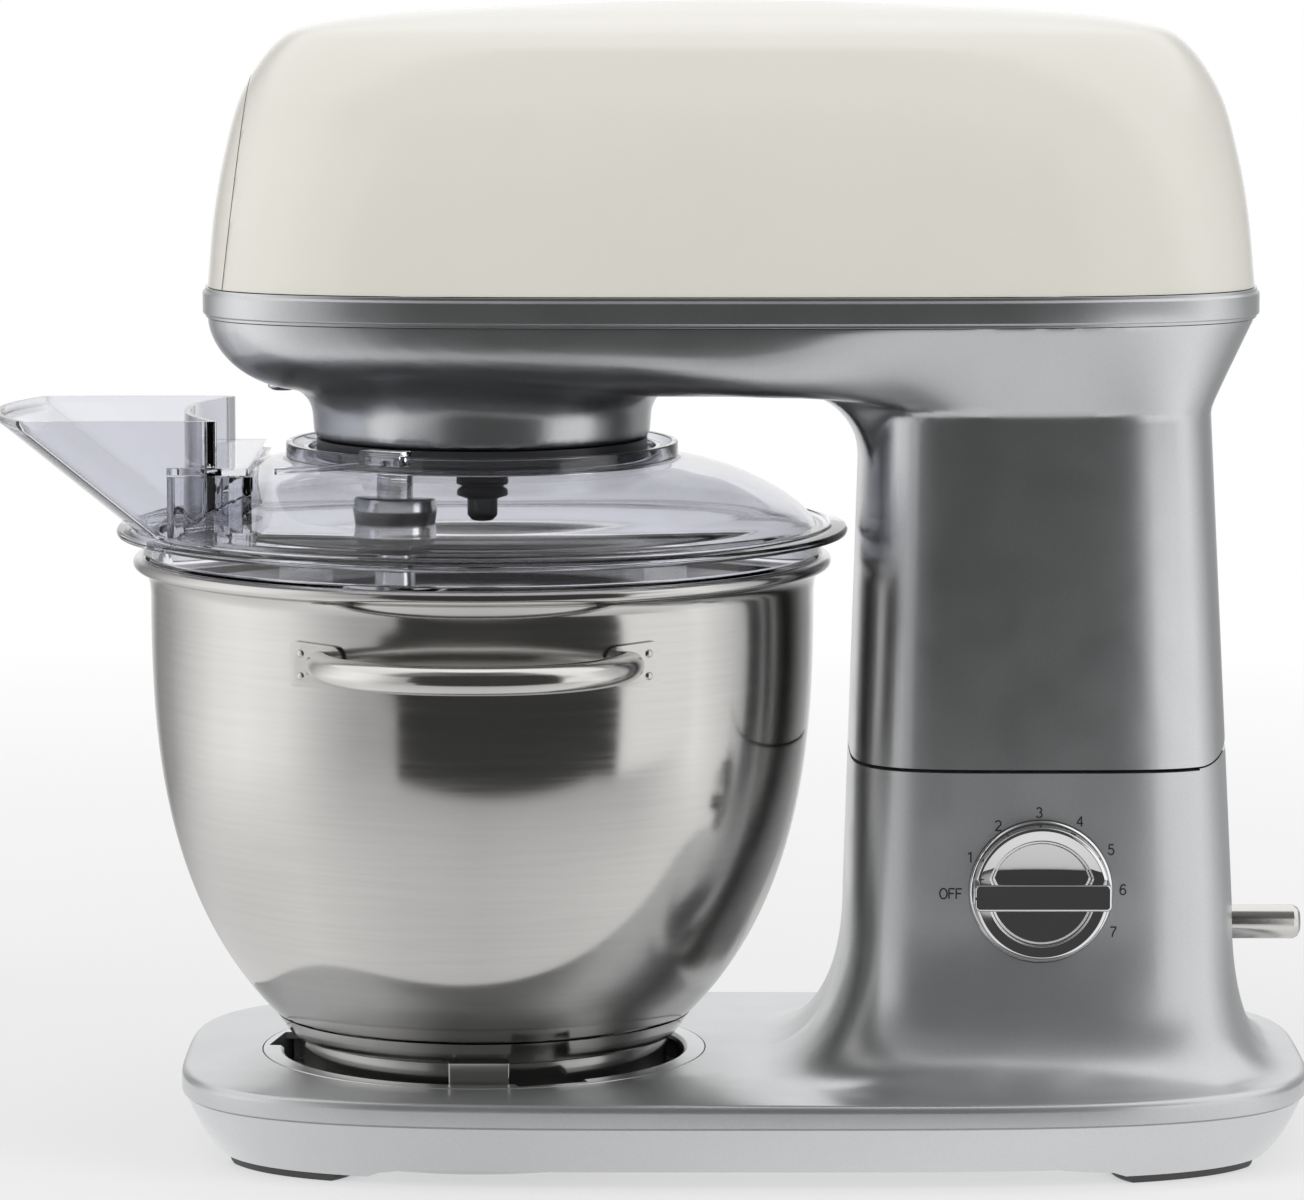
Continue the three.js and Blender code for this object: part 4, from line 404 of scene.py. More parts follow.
def arm_levels(angles, d, steps):
    """The arm's side, from above the band down to below the split, inset by d.

    Beside the column it is a straight slope; elsewhere it turns under to a flat underside.
    """
    top = BAND_Z - 0.3
    wide = HEAD.inset(d).reach(angles)
    spread = wide - column(UNDERSIDE_Z, d).reach(angles)
    turned = smooth_step((spread - 20.7) / 45)
    ahead = np.clip((-np.cos(angles) - 0.955) / 0.045, 0, 1) ** 2
    power = 1 + 1.8 * turned - 1.05 * ahead
    lean = 5 * (1 - ahead)
    under = SLOPE_END_Z + (UNDERSIDE_Z - SLOPE_END_Z) * turned + d
    fillet = 0.8 + (ARCH_ROUND - 0.8) * smooth_step((spread - 30) / 50)
    inset = UNDER_ROUND + (FRONT_ROUND - UNDER_ROUND) * ahead
    across = np.minimum(spread - fillet, wide - HEAD.inset(d + inset).reach(angles))
    levels = [(wide, top + 8)]
    for a in quarter(2 * steps):
        out, down = 1 - math.cos(a) ** (2 / power), math.sin(a) ** (2 / power)
        levels.append((wide - lean * down - (across - lean) * out, top - (top - under) * down))
    neck_z = under - fillet
    neck = column(neck_z, d).reach(angles)
    for a in quarter(steps):
        levels.append((neck + fillet * (1 - math.sin(a)), under - fillet * (1 - math.cos(a))))
    for share in np.linspace(0, 1, 9)[1:]:
        z = neck_z + (SPLIT_Z - 6 - neck_z) * share
        levels.append((column(z, d).reach(angles), z))
    return levels


def field(obj, voxel, low, shape, reach):
    """Signed distance to an object's surface on a grid, in millimetres, cut off at reach."""
    mesh = obj.data
    mesh.calc_loop_triangles()
    points = np.empty(len(mesh.vertices) * 3, np.float32)
    mesh.vertices.foreach_get("co", points)
    points = points.reshape(-1, 3) / MM
    triangles = np.empty(len(mesh.loop_triangles) * 3, np.int32)
    mesh.loop_triangles.foreach_get("vertices", triangles)
    local = ((points - low) / voxel).astype(np.float32)
    grid = openvdb.FloatGrid.createLevelSetFromPolygons(
        local, triangles=triangles.reshape(-1, 3).astype(np.uint32), halfWidth=reach / voxel
    )
    out = np.empty(shape, np.float32)
    grid.copyToArray(out, ijk=(0, 0, 0))
    return out * voxel


def melt(name, first, second, fillet, voxel, low, high):
    """Joins two solids inside a box with a round fillet between them."""
    low = np.array(low, float)
    shape = tuple(int(n) + 1 for n in np.ceil((high - low) / voxel))
    reach = fillet + 3 * voxel
    a = field(first, voxel, low, shape, reach)
    b = field(second, voxel, low, shape, reach)
    nearer = np.minimum(a, b)
    corner = fillet - np.sqrt(np.maximum(fillet - a, 0) ** 2 + np.maximum(fillet - b, 0) ** 2)
    both = (a < fillet) & (b < fillet)
    merged = np.where(both, np.minimum(nearer, corner), nearer).astype(np.float32)
    grid = openvdb.FloatGrid(float(reach))
    grid.copyFromArray(merged)
    points, triangles, quads = grid.convertToPolygons(isovalue=0.0, adaptivity=0.0)
    for used in (first, second):
        bpy.data.objects.remove(used)
    faces = [tuple(q) for q in quads.tolist()] + [tuple(t) for t in triangles.tolist()]
    return mesh_object(name, np.asarray(points, float) * voxel + low, faces)


def knuckle_waste():
    """What lies outside the hinge's knuckle, below and behind the pivot."""
    corner = block(PIVOT_X, PIVOT_X + 40, -90, 90, SPLIT_Z - 20, PIVOT_Z)
    return cut(corner, drum("y", KNUCKLE, -95, 95, (PIVOT_X, PIVOT_Z), 128))


def ear_slots(body, x0, x1, z0, z1):
    """Cuts the two slots that the hinge bracket's ears stand in."""
    for y in (-EAR_Y, EAR_Y):
        cut(body, block(x0, x1, y - EAR_HALF, y + EAR_HALF, z0, z1))


def arm_casting():
    angles = directions(HEAD)
    shell = loft("shell", polar_rings(angles, arm_levels(angles, 0, 14)))
    root = NOSE_R + 1.1
    nose = revolve("nose", [(0, 235), (NOSE_R, 235, 1.6), (root, 250), (root, 262), (0, 262)], 160)
    body = melt("arm_casting_shell", shell, nose, 9, 1.6, (-99, -84, 118), (264, 84, 290))
    inner = loft("inner", polar_rings(angles, arm_levels(angles, WALL, 8)))
    cut(inner, block(90, 280, -80, 80, 100, SPLIT_Z + WALL))
    cut(
        body,
        inner,
        block(-120, 300, -100, 100, 90, SPLIT_Z),
        block(-120, 300, -100, 100, BAND_Z - 0.3, 320),
        drum("z", NOSE_R - WALL, 200, 262, segments=160),
        knuckle_waste(),
    )
    ear_slots(body, PIVOT_X - 10, PIVOT_X + 9.4, SPLIT_Z - 2, SPLIT_Z + 5)
    return finish_shading(body, 40)


# ---- base casting


def base_levels(angles, d, steps):
    lip = PIVOT_Z - KNUCKLE * math.sin(math.radians(45))
    wide = BASE.inset(d).reach(angles)
    neck = column(FLARE_TOP, d).reach(angles)
    flare = np.minimum(30 + 10 * np.abs(np.sin(angles)), 0.85 * (wide - neck))
    deck = DECK_Z - d
    levels = [(column(z, d).reach(angles), z) for z in np.linspace(lip, FLARE_TOP, 7)[:-1]]
    for a in quarter(steps):
        out, down = 1 - math.cos(a) ** (2 / FLARE_POWER), math.sin(a) ** (2 / FLARE_POWER)
        levels.append((neck + flare * out, FLARE_TOP - (FLARE_TOP - deck) * down))
    edge_in, edge_down = 2.9, 2.7
    for a in quarter(8):
        levels.append((wide - edge_in * (1 - math.sin(a)), deck - edge_down * (1 - math.cos(a))))
    levels.append((wide, 22.0))
    return levels


def base_casting():
    angles = directions(BASE)
    outer = base_levels(angles, 0, 26)
    inner = base_levels(angles, WALL, 8)[::-1]
    body = loft("base_casting_shell", polar_rings(angles, outer + inner), wrap=True)
    top = SPLIT_Z - SEAM
    join(body, loft("plate", [column(z, WALL / 2).ring(200, z) for z in (top - WALL, top)]))
    cut(
        body,
        block(100, PIVOT_X, -90, 90, top, SPLIT_Z + 30),
        drum("y", KNUCKLE + SEAM / 2, -90, 90, (PIVOT_X, PIVOT_Z), 128),
        drum("z", LOCK_RING_R + FIT, 17, 34, segments=192),
        drum("y", 23.6, -70, DIAL_FACE, (DIAL_X, DIAL_Z), 128),
        drum("y", SHAFT_R, -70, -40, (DIAL_X, DIAL_Z), 32),
    )
    ear_slots(body, PIVOT_X - 18, PIVOT_X + 2, top - 4.2, top + 1)
    cut(body, block(189, 216, -12, 12, top - 4.2, top + 1))
    half = LEVER_SLOT
    high, low = LEVER_Z + half, LEVER_Z - LEVER_DROP - half
    slot = [(-half, high, 6), (half, high, 6), (half, low, 6), (-half, low, 6)]
    cut(body, slab("slot", slot, 225, 265, "yz"))
    return finish_shading(body, 40)


# ---- tray and feet

# Each leg's x and y, and the radii of its pad, of the leg over the pad and of its spread above.
LEGS = [
    (-62, -62, 23, 34, 56), (-62, 62, 23, 34, 56), (230, -66, 25, 27, 62), (230, 66, 25, 27, 62),
]


def tray_core(name, d, levels):
    return loft(name, [BASE.inset(inset + d).ring(260, z) for z, inset in levels])


def base_tray():
    side = [(2.6, 11.2), (5, 9.4), (8, 7.4), (10, 6.2), (14, 4.1), (18, 2.3), (21.2, 1)]
    body = tray_core("base_tray_shell", 0, side + [(21.7, 1.3)])
    arches = block(-100, 274, -102, 102, 1, 6)
    for x, y, _, leg, spread in LEGS:
        half = (leg + spread) / 2
        levels = (0.5, leg - 3), (2.6, leg), (4.2, leg + 4), (5.4, half), (7.5, spread)
        cut(arches, loft("leg", [[(*p, z) for p in circle(r, (x, y), 64)] for z, r in levels]))
    cut(
        body,
        arches,
        tray_core("core", THIN_WALL, [(8.4, 7.6), (14, 4.4), (23, 1.2)]),
        drum("z", CENTRE_FOOT_R + FIT, 1.6, 6, segments=128),
        drum("x", 4.9, 253, 280, (CORD_Y, CORD_Z), 32),
    )
    return finish_shading(body, 40)


def corner_pad(i, x, y, pad):
    profile = [(0, 0), (pad - 1.2, 0, 0.6), (pad, 1.0, 0.6), (pad, 2.3), (0, 2.3)]
    body = revolve(f"foot_{i}_pad", profile, 96, (x, y))
    combine(body, "INTERSECT", tray_core("core", 0, [(-1, 12.8), (0, 12.8), (2.6, 11.8)]))
    cut(body, drum("z", CENTRE_FOOT_R + FIT, -1, 3, segments=160))
    return finish_shading(body)


# ---- cover and band

COVER_HEIGHT = 92.7
# Shares of the cover's half length, of its height and of its half width, from the band up.
COVER_LINE = [
    (1, 0, 1), (0.988, 0.25, 0.985), (0.968, 0.462, 0.955), (0.934, 0.677, 0.885),
    (0.868, 0.853, 0.75), (0.79, 0.918, 0.61), (0.603, 0.96, 0.4), (0.34, 0.985, 0.2),
]


def cover_rings(d, count, levels):
    half, half_width, height = HEAD.half - d, HEAD.half_width - d, COVER_HEIGHT - d
    rings = []
    for long, up, wide in smooth_line(COVER_LINE, levels):
        ends = HEAD.middle - half * long, HEAD.middle + half * long
        shape = Outline(*ends, half_width * wide, HEAD.power - 1.1 * up)
        rings.append(shape.ring(count, COVER_Z + height * up))
    crown = np.array([HEAD.middle, 0, COVER_Z + height])
    last = rings[-1]
    for share in (0.35, 0.7, 0.97):
        ring = last + (crown - last) * share
        ring[:, 2] = last[0, 2] + (crown[2] - last[0, 2]) * (1 - (1 - share) ** 2)
        rings.append(ring)
    return rings


def cover_shell():
    outer = loft("top_cover_shell", cover_rings(0, 320, 44))
    inner = cover_rings(THIN_WALL, 160, 20)
    return cut(outer, loft("inner", [inner[0] - (0, 0, 1)] + inner))


SEAM_X, SEAM_LEAN, SEAM_HALF = -83, 0.114, 0.12


def ahead_of_seam(gap):
    """All that lies this far or more ahead of the seam between the cap and the cover."""
    low = SEAM_X + gap - SEAM_LEAN * 10
    high = SEAM_X + gap + SEAM_LEAN * 120
    outline = [(low, BAND_Z), (high, BAND_Z + 130), (high - 60, BAND_Z + 130), (low - 60, BAND_Z)]
    return slab("seam", outline, -100, 100, "xz")


def band_shape():
    profile = [
        (-WALL, 0), (0.7, 0, 0.2), (0.7, 0.9, 0.2), (1.6, 1.3, 0.5), (1.6, 7.9, 0.6),
        (0.7, 8.8, 0.3), (0.7, 9.7, 0.2), (-WALL, 9.7),
    ]
    rings = [HEAD.inset(-out).ring(360, BAND_Z + up) for out, up in rounded(profile, True, 4)]
    return finish_shading(loft("trim_band_rail", rings, wrap=True))


# ---- bowl

BOWL_R, BOWL_TOP, BOWL_FOOT_Z, BOWL_WALL = 110, 184, 43.8, 1.2


def bowl_radius(z):
    return BOWL_R * math.sqrt(1 - ((BOWL_TOP - z) / 170.2) ** 2.7)


def bowl_shape():
    heights = BOWL_FOOT_Z + (BOWL_TOP - BOWL_FOOT_Z) * np.linspace(0, 1, 40) ** 1.5
    wall = [(bowl_radius(z), z) for z in heights]
    lip = smooth_line([(BOWL_R, BOWL_TOP), (110.6, 188.5), (112.4, 191.2), (113.6, 191.7)], 10)
    bead = sweep(113.5, 194, 2.3, 2.3, -90, 162, 20)
    inner_lip = [(111.6, 192.6), (109.4, 188.7), (BOWL_R - BOWL_WALL, BOWL_TOP)]
    inside = [(r - BOWL_WALL, z + BOWL_WALL * (1 - r / BOWL_R)) for r, z in wall[-2::-1]]
    floor, roof = [(0, 40.6), (60, 41.2)], [(60, 42.4), (0, 41.8)]
    profile = floor + wall + [tuple(p) for p in lip[1:-1]] + bead + inner_lip + inside + roof
    return revolve("bowl_wall", profile, 240)


def spin(obj, degrees):
    obj.data.transform(Matrix.Rotation(math.radians(degrees), 4, "Z"))
    return obj


def bowl_foot():
    top = bowl_radius(BOWL_FOOT_Z)
    body = revolve("bowl_foot_ring", [
        (top - 0.7, 43.0), (65, 36.6, 0.6), (64.4, 35.9, 0.4), (61.4, 35.6, 0.8),
        (61, 19.8, 0.6), (56, 19.8), (56, 40.6), (60, 40.8),
    ], 192, closed=True)
    for degrees in (-90, 30, 150):
        for reach, corner, high in ((70.6, 1.5, 26.8), (65.3, 0.8, 36)):
            lug = slab("lug", oblong(59, reach, 10, 0, corner), 19.8, high, steps=4)
            join(body, spin(lug, degrees))
    return finish_shading(body)


def lock_ring():
    body = revolve("lock_ring_seat", [
        (LOCK_RING_R, 29.5, 0.4), (68.2, 29.6, 0.3), (67, 28.6, 0.4), (67, 27.3), (72, 27.3),
        (72, 19.5), (50, 19.5), (50, 17.5), (LOCK_RING_R, 17.5),
    ], 192, closed=True)
    for degrees in (-70, 50, 170):
        cut(body, spin(slab("notch", oblong(55, 71.2, 12, 0, 1), 27.2, 31), degrees))
    return finish_shading(body)


def around(radius, angle, z):
    return np.array([radius * math.sin(angle), -radius * math.cos(angle), z])


HANDLE_Z = 171
BRACKET_R = 110.4


def handle_tube():
    reach, start = 137.4, BRACKET_R + 1.8
    end = around(start - 1.5, math.radians(26.5), HANDLE_Z)
    path = []
    for t in np.linspace(-1, 1, 81):
        x = end[0] * math.sin(t * math.pi / 2)
        out = (1 - abs(x / end[0]) ** 2.4) ** (1 / 1.6)
        path.append((x, end[1] - (reach + end[1]) * out, HANDLE_Z))
    rod = tube("handle_rod", path, 4.6, 40, ends=0)
    cut(rod, drum("z", start, HANDLE_Z - 20, HANDLE_Z + 20, segments=360))
    return finish_shading(rod, 50)


def handle_bracket(side, name):
    """A plate bent to the bowl's wall, with two rivets."""
    outer_angle = math.asin(57.8 / BOWL_R)
    near, far = (outer_angle - 0.17) * BOWL_R, outer_angle * BOWL_R
    outline = [(near, -6.2, 4), (far, -7.4, 1.6), (far, 7.4, 1.6), (near, 6.2, 4)]
    flat = slab(name, outline, 0, 1.5)
    with editing(flat.data) as edit:
        bmesh.ops.triangulate(edit, faces=edit.faces)
        long = [e for e in edit.edges if e.calc_length() > 3 * MM]
        bmesh.ops.subdivide_edges(edit, edges=long, cuts=3)
    for z in (3.6, -3.6):
        profile = [(0, 2.1), (0.9, 2.0, 0.4), (1.5, 1.3), (1.5, 0.6), (0, 0.6)]
        join(flat, revolve("rivet", profile, 32, ((outer_angle - 0.036) * BOWL_R, z)))
    for vertex in flat.data.vertices:
        u, v, w = vertex.co / MM
        vertex.co = Vector(around(BRACKET_R + w, side * u / BOWL_R, HANDLE_Z + v)) * MM
    if side < 0:
        flat.data.flip_normals()
    return finish_shading(flat)


# ---- lid and chute

CHUTE_RIM = 242


def chute_outline(z, d):
    """The trough's plan at a height: an arc in front, straight sides and a hollow back."""
    half, front_r, back_r = 48.5 - d, 102.0 - d, 96.5 + d
    front_x = -59 + (CHUTE_RIM - z) / 0.81
    a, b = math.asin(half / front_r), math.asin(half / back_r)
    corner = 5.5 - max(d, 0)
    front = sweep(front_x, 0, -front_r, front_r, *np.degrees((-0.84 * a, 0.84 * a)), 24)
    back = sweep(0, 0, -back_r, back_r, *np.degrees((0.86 * b, -0.86 * b)), 24)
    nose = front_x - front_r * math.cos(a)
    heel = -back_r * math.cos(b)
    left = [(nose, half, corner), (heel, half, corner)]
    right = [(heel, -half, corner), (nose, -half, corner)]
    return rounded([*front, *left, *back, *right], True, 7)


def chute_solid(name, d, low, high, levels=30):
    heights = np.linspace(low, high, levels)
    return loft(name, [[(*p, z) for p in chute_outline(min(z, CHUTE_RIM), d)] for z in heights])


def feed_chute():
    top, bottom = top_of("feed_chute"), 201
    body = chute_solid("feed_chute_trough", 0, bottom, top)
    lip = slab("lip", oblong(-101, -74.5, 51.6, 2, 1), 226.7, 229)
    cut(lip, drum("z", 75, 220, 240, segments=160))
    join(body, lip)
    for side in (-1, 1):
        arm = []
        for t in np.linspace(0, 1, 28):
            a = math.radians(180 + side * (37 + 27 * t))
            r = 82 - 14.5 * min(1, t * 1.4) ** 0.8
            arm.append((r * math.cos(a), r * math.sin(a), 228 + 3.6 * t))
        join(body, strip("strap", arm, 5, 1.9))
    cut(body, chute_solid("inside", 2, bottom - 2, top + 2))
    return finish_shading(body, 40)


def strip(name, path, width, thickness, corner=0.5):
    """A flat bar along a level line, its width in the level plane."""
    path = np.asarray(path, float)
    ahead = np.gradient(path, axis=0)
    section = rounded(oblong(-width / 2, width / 2, thickness / 2, corner, corner), True, 3)
    rings = []
    for point, forward in zip(path, ahead):
        side = np.array([-forward[1], forward[0], 0])
        side /= np.linalg.norm(side)
        rings.append([point + side * u + (0, 0, v) for u, v in section])
    return loft(name, rings)


def chute_clip(side, name):
    """The hook at the end of a strap, over the lid's collar."""
    middle = math.radians(180 + side * 63.5)
    profile = rounded([
        (61.6, 230.4, 0.5), (62.5, 230.4), (62.5, 233.8, 0.3), (65.4, 233.8, 0.3),
        (65.4, 230.9), (71, 230.9, 0.6), (71, 235.6, 1), (61.6, 235.6, 1),
    ], True, 4)
    turns = np.linspace(middle - 0.105, middle + 0.105, 15)
    rings = [[(r * math.cos(a), r * math.sin(a), z) for r, z in profile] for a in turns]
    return finish_shading(loft(name, rings), 40)


def offset_line(line, distance):
    """A line beside another one, to the right of its run."""
    ahead = headings(line)
    return line + distance * np.column_stack([ahead[:, 1], -ahead[:, 0]])


def splash_lid():
    collar, top, wall = 65, top_of("splash_lid"), 2
    dome = smooth_line([
        (collar, 228.6), (74, 226.6), (84, 223.8), (94, 219.4), (103.3, 213.9), (108.6, 209.2),
        (110.8, 206.3),
    ], 40)
    outer = [
        (collar, top, 0.5), *map(tuple, dome), (114.2, 206.2, 0.4), (114.6, 206.8, 0.3),
        (116.0, 206.8, 0.3), (116.4, 206.0, 0.4), (120.6, 205.6, 0.8), (121.3, 204.4, 0.9),
        (120.9, 203.1, 0.5), (112.6, 203.0, 0.5), (112.6, 197.0, 0.8),
    ]
    inner = [
        (110.4, 197.0, 0.8), (110.4, 203.6, 0.5), *map(tuple, offset_line(dome, wall)[::-1]),
        (57.5, 226.0, 0.5), (57.5, 232, 0.4), (59.5, 232, 0.4), (59.5, 228.2, 0.8),
        (62.8, 228.2, 0.8), (62.8, top, 0.5),
    ]
    body = revolve("splash_lid_dome", outer + inner, 220, closed=True)
    socket = slab("socket", oblong(-101, -73, 52, 3, 2), 204, 226.2)
    for x in (-95.5, -89.5, -84, -78.5):
        for y in (-53.2, 51.5):
            join(socket, block(x - 0.6, x + 0.6, y, y + 1.7, 205, 226.2))
    join(body, socket)
    cut(body, slab("throat", oblong(-140, -76, 49.2, 1, 1), 207.5, 240))
    cut(body, chute_solid("bore", -0.4, 190, 240, 40))
    return finish_shading(body, 40)


# ---- drive parts in view


def mount_ring():
    return revolve("lid_mount_ring_body", [
        (50.1, 228.3, 0.4), (57, 228.3, 0.8), (57, 230.3, 0.8), (54.8, 230.9, 0.3),
        (54.8, 234.7), (50.1, 234.7),
    ], 192, closed=True)


def planet_carrier():
    body = revolve("planet_carrier_disc", [
        (0, 207), (3.4, 207.4, 1.2), (5, 209.4, 1.5), (5, 216, 1), (8.4, 218.4, 2), (9, 224, 2),
        (13, 228.6, 3), (47.6, 228.6, 1.5), (49.6, 230.1, 1), (49.6, 233.6), (0, 233.6),
    ], 160)
    join(body, revolve("boss", [(0, 223.6), (10.2, 223.6, 1), (11, 230), (0, 230)], 64, TOOL_AT))
    cut(body, drum("z", 6.5, 215, 240, TOOL_AT, 48))
    return finish_shading(body)


def tool_coupling():
    return revolve("tool_coupling_cup", [
        (6.3, 216, 0.3), (13.4, 216, 1.2), (14, 211, 2), (13.2, 206, 3), (14, 203.5, 2),
        (12, 199.8, 2), (8, 199, 0.8), (0, 199), (0, 205.7), (6.3, 205.7),
    ], 96, TOOL_AT)


def dough_hook():
    stem = revolve("dough_hook_rod", [
        (0, 163), (5.5, 163), (5.5, 183, 0.6), (17, 183, 0.5), (18, 184, 0.5), (17, 185.2, 0.5),
        (7.2, 186.2, 2), (6.6, 196, 1), (4.4, 198.7), (0, 198.7),
    ], 72, TOOL_AT)
    points = []
    for t in np.linspace(0, 1, 15):
        swing = 33 * math.sin(math.pi * min(1, t * 0.93)) ** 0.8
        a = t * math.pi * 1.25
        points.append((TOOL_AT[0] + swing * math.cos(a), swing * math.sin(a), 172 - 119 * t))
    path = smooth_line(points, 110)
    taper = 5.4 - 0.9 * np.linspace(0, 1, 110) ** 3
    join(stem, tube("hook", path, taper, 32))
    return finish_shading(stem, 40)


def underside_fitting():
    profile = [(0, 250.2), (3.4, 250.2, 1), (5, 251.2, 1.2), (5, 254.6), (0, 254.6)]
    return revolve("underside_fitting_cap", profile, 64, (-66, 0))


# ---- dial and lever


def facing(obj):
    """Turns a shape drawn with z outwards so that it faces -Y on the dial's centre."""
    x, y, z = DIAL_X * MM, DIAL_FACE * MM, DIAL_Z * MM
    obj.data.transform(Matrix(((1, 0, 0, x), (0, 0, -1, y), (0, 1, 0, z), (0, 0, 0, 1))))
    return obj


def dial_bezel():
    profile = [(SHAFT_R, 0.3), (23.3, 0.3), (23.3, 2, 0.6), (22.6, 2.6, 0.5), (SHAFT_R, 2.6)]
    return finish_shading(facing(revolve("dial_bezel_ring", profile, 160, closed=True)))


def dial_knob():
    body = revolve("dial_knob_grip", [
        (0, 2.9), (21.6, 2.9, 0.4), (22.4, 5.0, 1.2), (21.8, 7.4, 0.7), (20.8, 7.8, 0.5),
        (17.5, 6.9, 0.4), (17.2, 6.2, 0.3), (16.6, 6.1, 0.3), (16.2, 4.95, 0.3),
        *((r, 3.9 + (r / 16) ** 2) for r in (16, 14, 12, 10, 8, 6, 4)), (0, 3.9),
    ], 192, steps=8)
    half, reach, front = 4.3, 22.1, 16
    rings = []
    for h, out in ((half + 0.9, 3.3), (half, front)):
        rings.append([(*p, out) for p in rounded(oblong(-reach, reach, h, 1.6, 1.6), True, 5)])
    bar = bevelled(loft("bar", rings), 0.7, 3, 60)
    cut(bar, slab("pointer", oblong(-reach - 2, -reach + 5, 0.45), front - 0.8, front + 2))
    join(body, bar)
    cut(body, drum("z", 3.3, -3, 12, segments=32))
    return even_shading(finish_shading(facing(body), 35))


def surface_y(x, z):
    """How far the near face of the column stands at -Y."""
    shape = column(z)
    flare = 39.7  # how far the foot spreads below the marks
    along = abs((x - shape.middle) / shape.half)
    side = shape.half_width * (1 - along**shape.power) ** (1 / shape.power)
    down = max(0, FLARE_TOP - z) / (FLARE_TOP - DECK_Z)
    return -side - flare * (1 - (1 - down**FLARE_POWER) ** (1 / FLARE_POWER))


# Each figure's strokes, in a cell one unit high.
FIGURES = {
    "1": [[(0.1, 0.76), (0.36, 0.97), (0.36, 0)]],
    "2": [sweep(0.3, 0.7, 0.26, 0.27, 165, -35) + [(0.04, 0.03), (0.6, 0.03)]],
    "3": [sweep(0.3, 0.74, 0.22, 0.23, 160, -85), sweep(0.3, 0.27, 0.27, 0.25, 85, -160)],
    "4": [[(0.44, 0), (0.44, 0.97), (0.02, 0.28), (0.6, 0.28)]],
    "5": [[(0.54, 0.97), (0.14, 0.97)] + sweep(0.3, 0.32, 0.27, 0.3, 135, -160)],
    "6": [sweep(0.3, 0.3, 0.26, 0.28, 170, -190, 24), sweep(0.34, 0.42, 0.3, 0.55, 50, 200, 18)],
    "7": [[(0.03, 0.95), (0.58, 0.95)] + sweep(0.95, 0.0, 0.72, 0.92, 130, 180, 8)],
    "O": [sweep(0.38, 0.485, 0.34, 0.485, 0, 360, 30)],
    "F": [[(0.08, 0), (0.08, 0.97), (0.62, 0.97)], [(0.08, 0.52), (0.54, 0.52)]],
}
FIGURE_STEP = {"O": 0.82, "F": 0.68}
INK_DEPTH = 0.04


def print_mark(name, text, x, z):
    """Printed figures on the near face of the column."""
    pieces, height, stroke = [], 3.45, 0.5
    steps = [FIGURE_STEP.get(letter, 0.62) for letter in text]
    left = -sum(steps) / 2
    for letter, step in zip(text, steps):
        for line in FIGURES[letter]:
            path = np.array([((left + u) * height, (v - 0.485) * height, 0) for u, v in line])
            fine = [p for a, b in zip(path, path[1:]) for p in np.linspace(a, b, 5)[:-1]]
            pieces.append(strip("stroke", fine + [path[-1]], stroke, INK_DEPTH, 0))
        left += step
    mark = join(*pieces)
    mark.name = name
    for vertex in mark.data.vertices:
        u, v, w = vertex.co / MM
        px, pz = x + u, z + v
        vertex.co = Vector((px, surface_y(px, pz) - INK_DEPTH - w, pz)) * MM
    return mark


def lay_down(obj, y, z):
    """Turns an upright shape to lie along X."""
    obj.data.transform(Matrix.Rotation(math.pi / 2, 4, "Y"))
    obj.data.transform(Matrix.Translation((0, y * MM, z * MM)))
    return obj


def lever_rod():
    profile = [(0, 224), (5.7, 224), (5.7, 270.8, 0.5), (4.9, 272.2, 0.5), (3.3, 273), (0, 273)]
    rod = lay_down(revolve("release_lever_rod", profile, 96), 0, LEVER_Z)
    join(rod, drum("y", 8.5, -8, 8, (LEVER_X, LEVER_Z), 64))
    cut(rod, drum("y", SHAFT_R, -20, 20, (LEVER_X, LEVER_Z), 32))
    return finish_shading(rod, 40)


def centre_foot():
    r = CENTRE_FOOT_R
    profile = [(0, 0), (r - 1.2, 0, 1), (r, 1.2, 0.6), (r, 5.7), (0, 5.7)]
    return revolve("centre_foot_disc", profile, 192)


def cord_gland():
    angle = math.atan2(CORD_Y, BASE.rear - COLUMN_X)
    face = COLUMN_X + BASE.inset(2).reach(np.array([angle]))[0] * math.cos(angle)
    tip = face + 1.4
    profile = [(3, face - 8), (4.6, face - 8), (4.6, tip - 0.7, 0.3), (3.9, tip, 0.4), (3, tip)]
    bush = revolve("cord_gland_bush", profile, 64, closed=True)
    return finish_shading(lay_down(bush, CORD_Y, CORD_Z))


# ---- materials

# What polished parts mirror, by direction in degrees: 0 is the near side, -Y.
BRIGHTEST = 1.4
SURROUND = [
    (-180, 1.1), (-168, 1.0), (-150, 0.3), (-133, 0.48), (-117, 0.88), (-100, 1.25), (-85, 1.36),
    (-67, 1.22), (-51, 0.8), (-40, 0.59), (0, 0.4), (50, 0.5), (57, 0.7), (74, 1.3), (92, 0.88),
    (120, 0.4), (150, 0.4), (168, 1.0), (180, 1.1),
]
NEAR_FLOOR = [
    (-180, 0.6), (-110, 0.9), (-60, 1.0), (-25, 0.82), (0, 0.76), (30, 0.85), (60, 1.0),
    (110, 0.8), (180, 0.6),
]
OVERHEAD = [
    (-180, 1.3), (-100, 1.2), (-68, 1.1), (-50, 0.28), (0, 0.12), (45, 0.28), (60, 1.2),
    (100, 1.3), (180, 1.3),
]


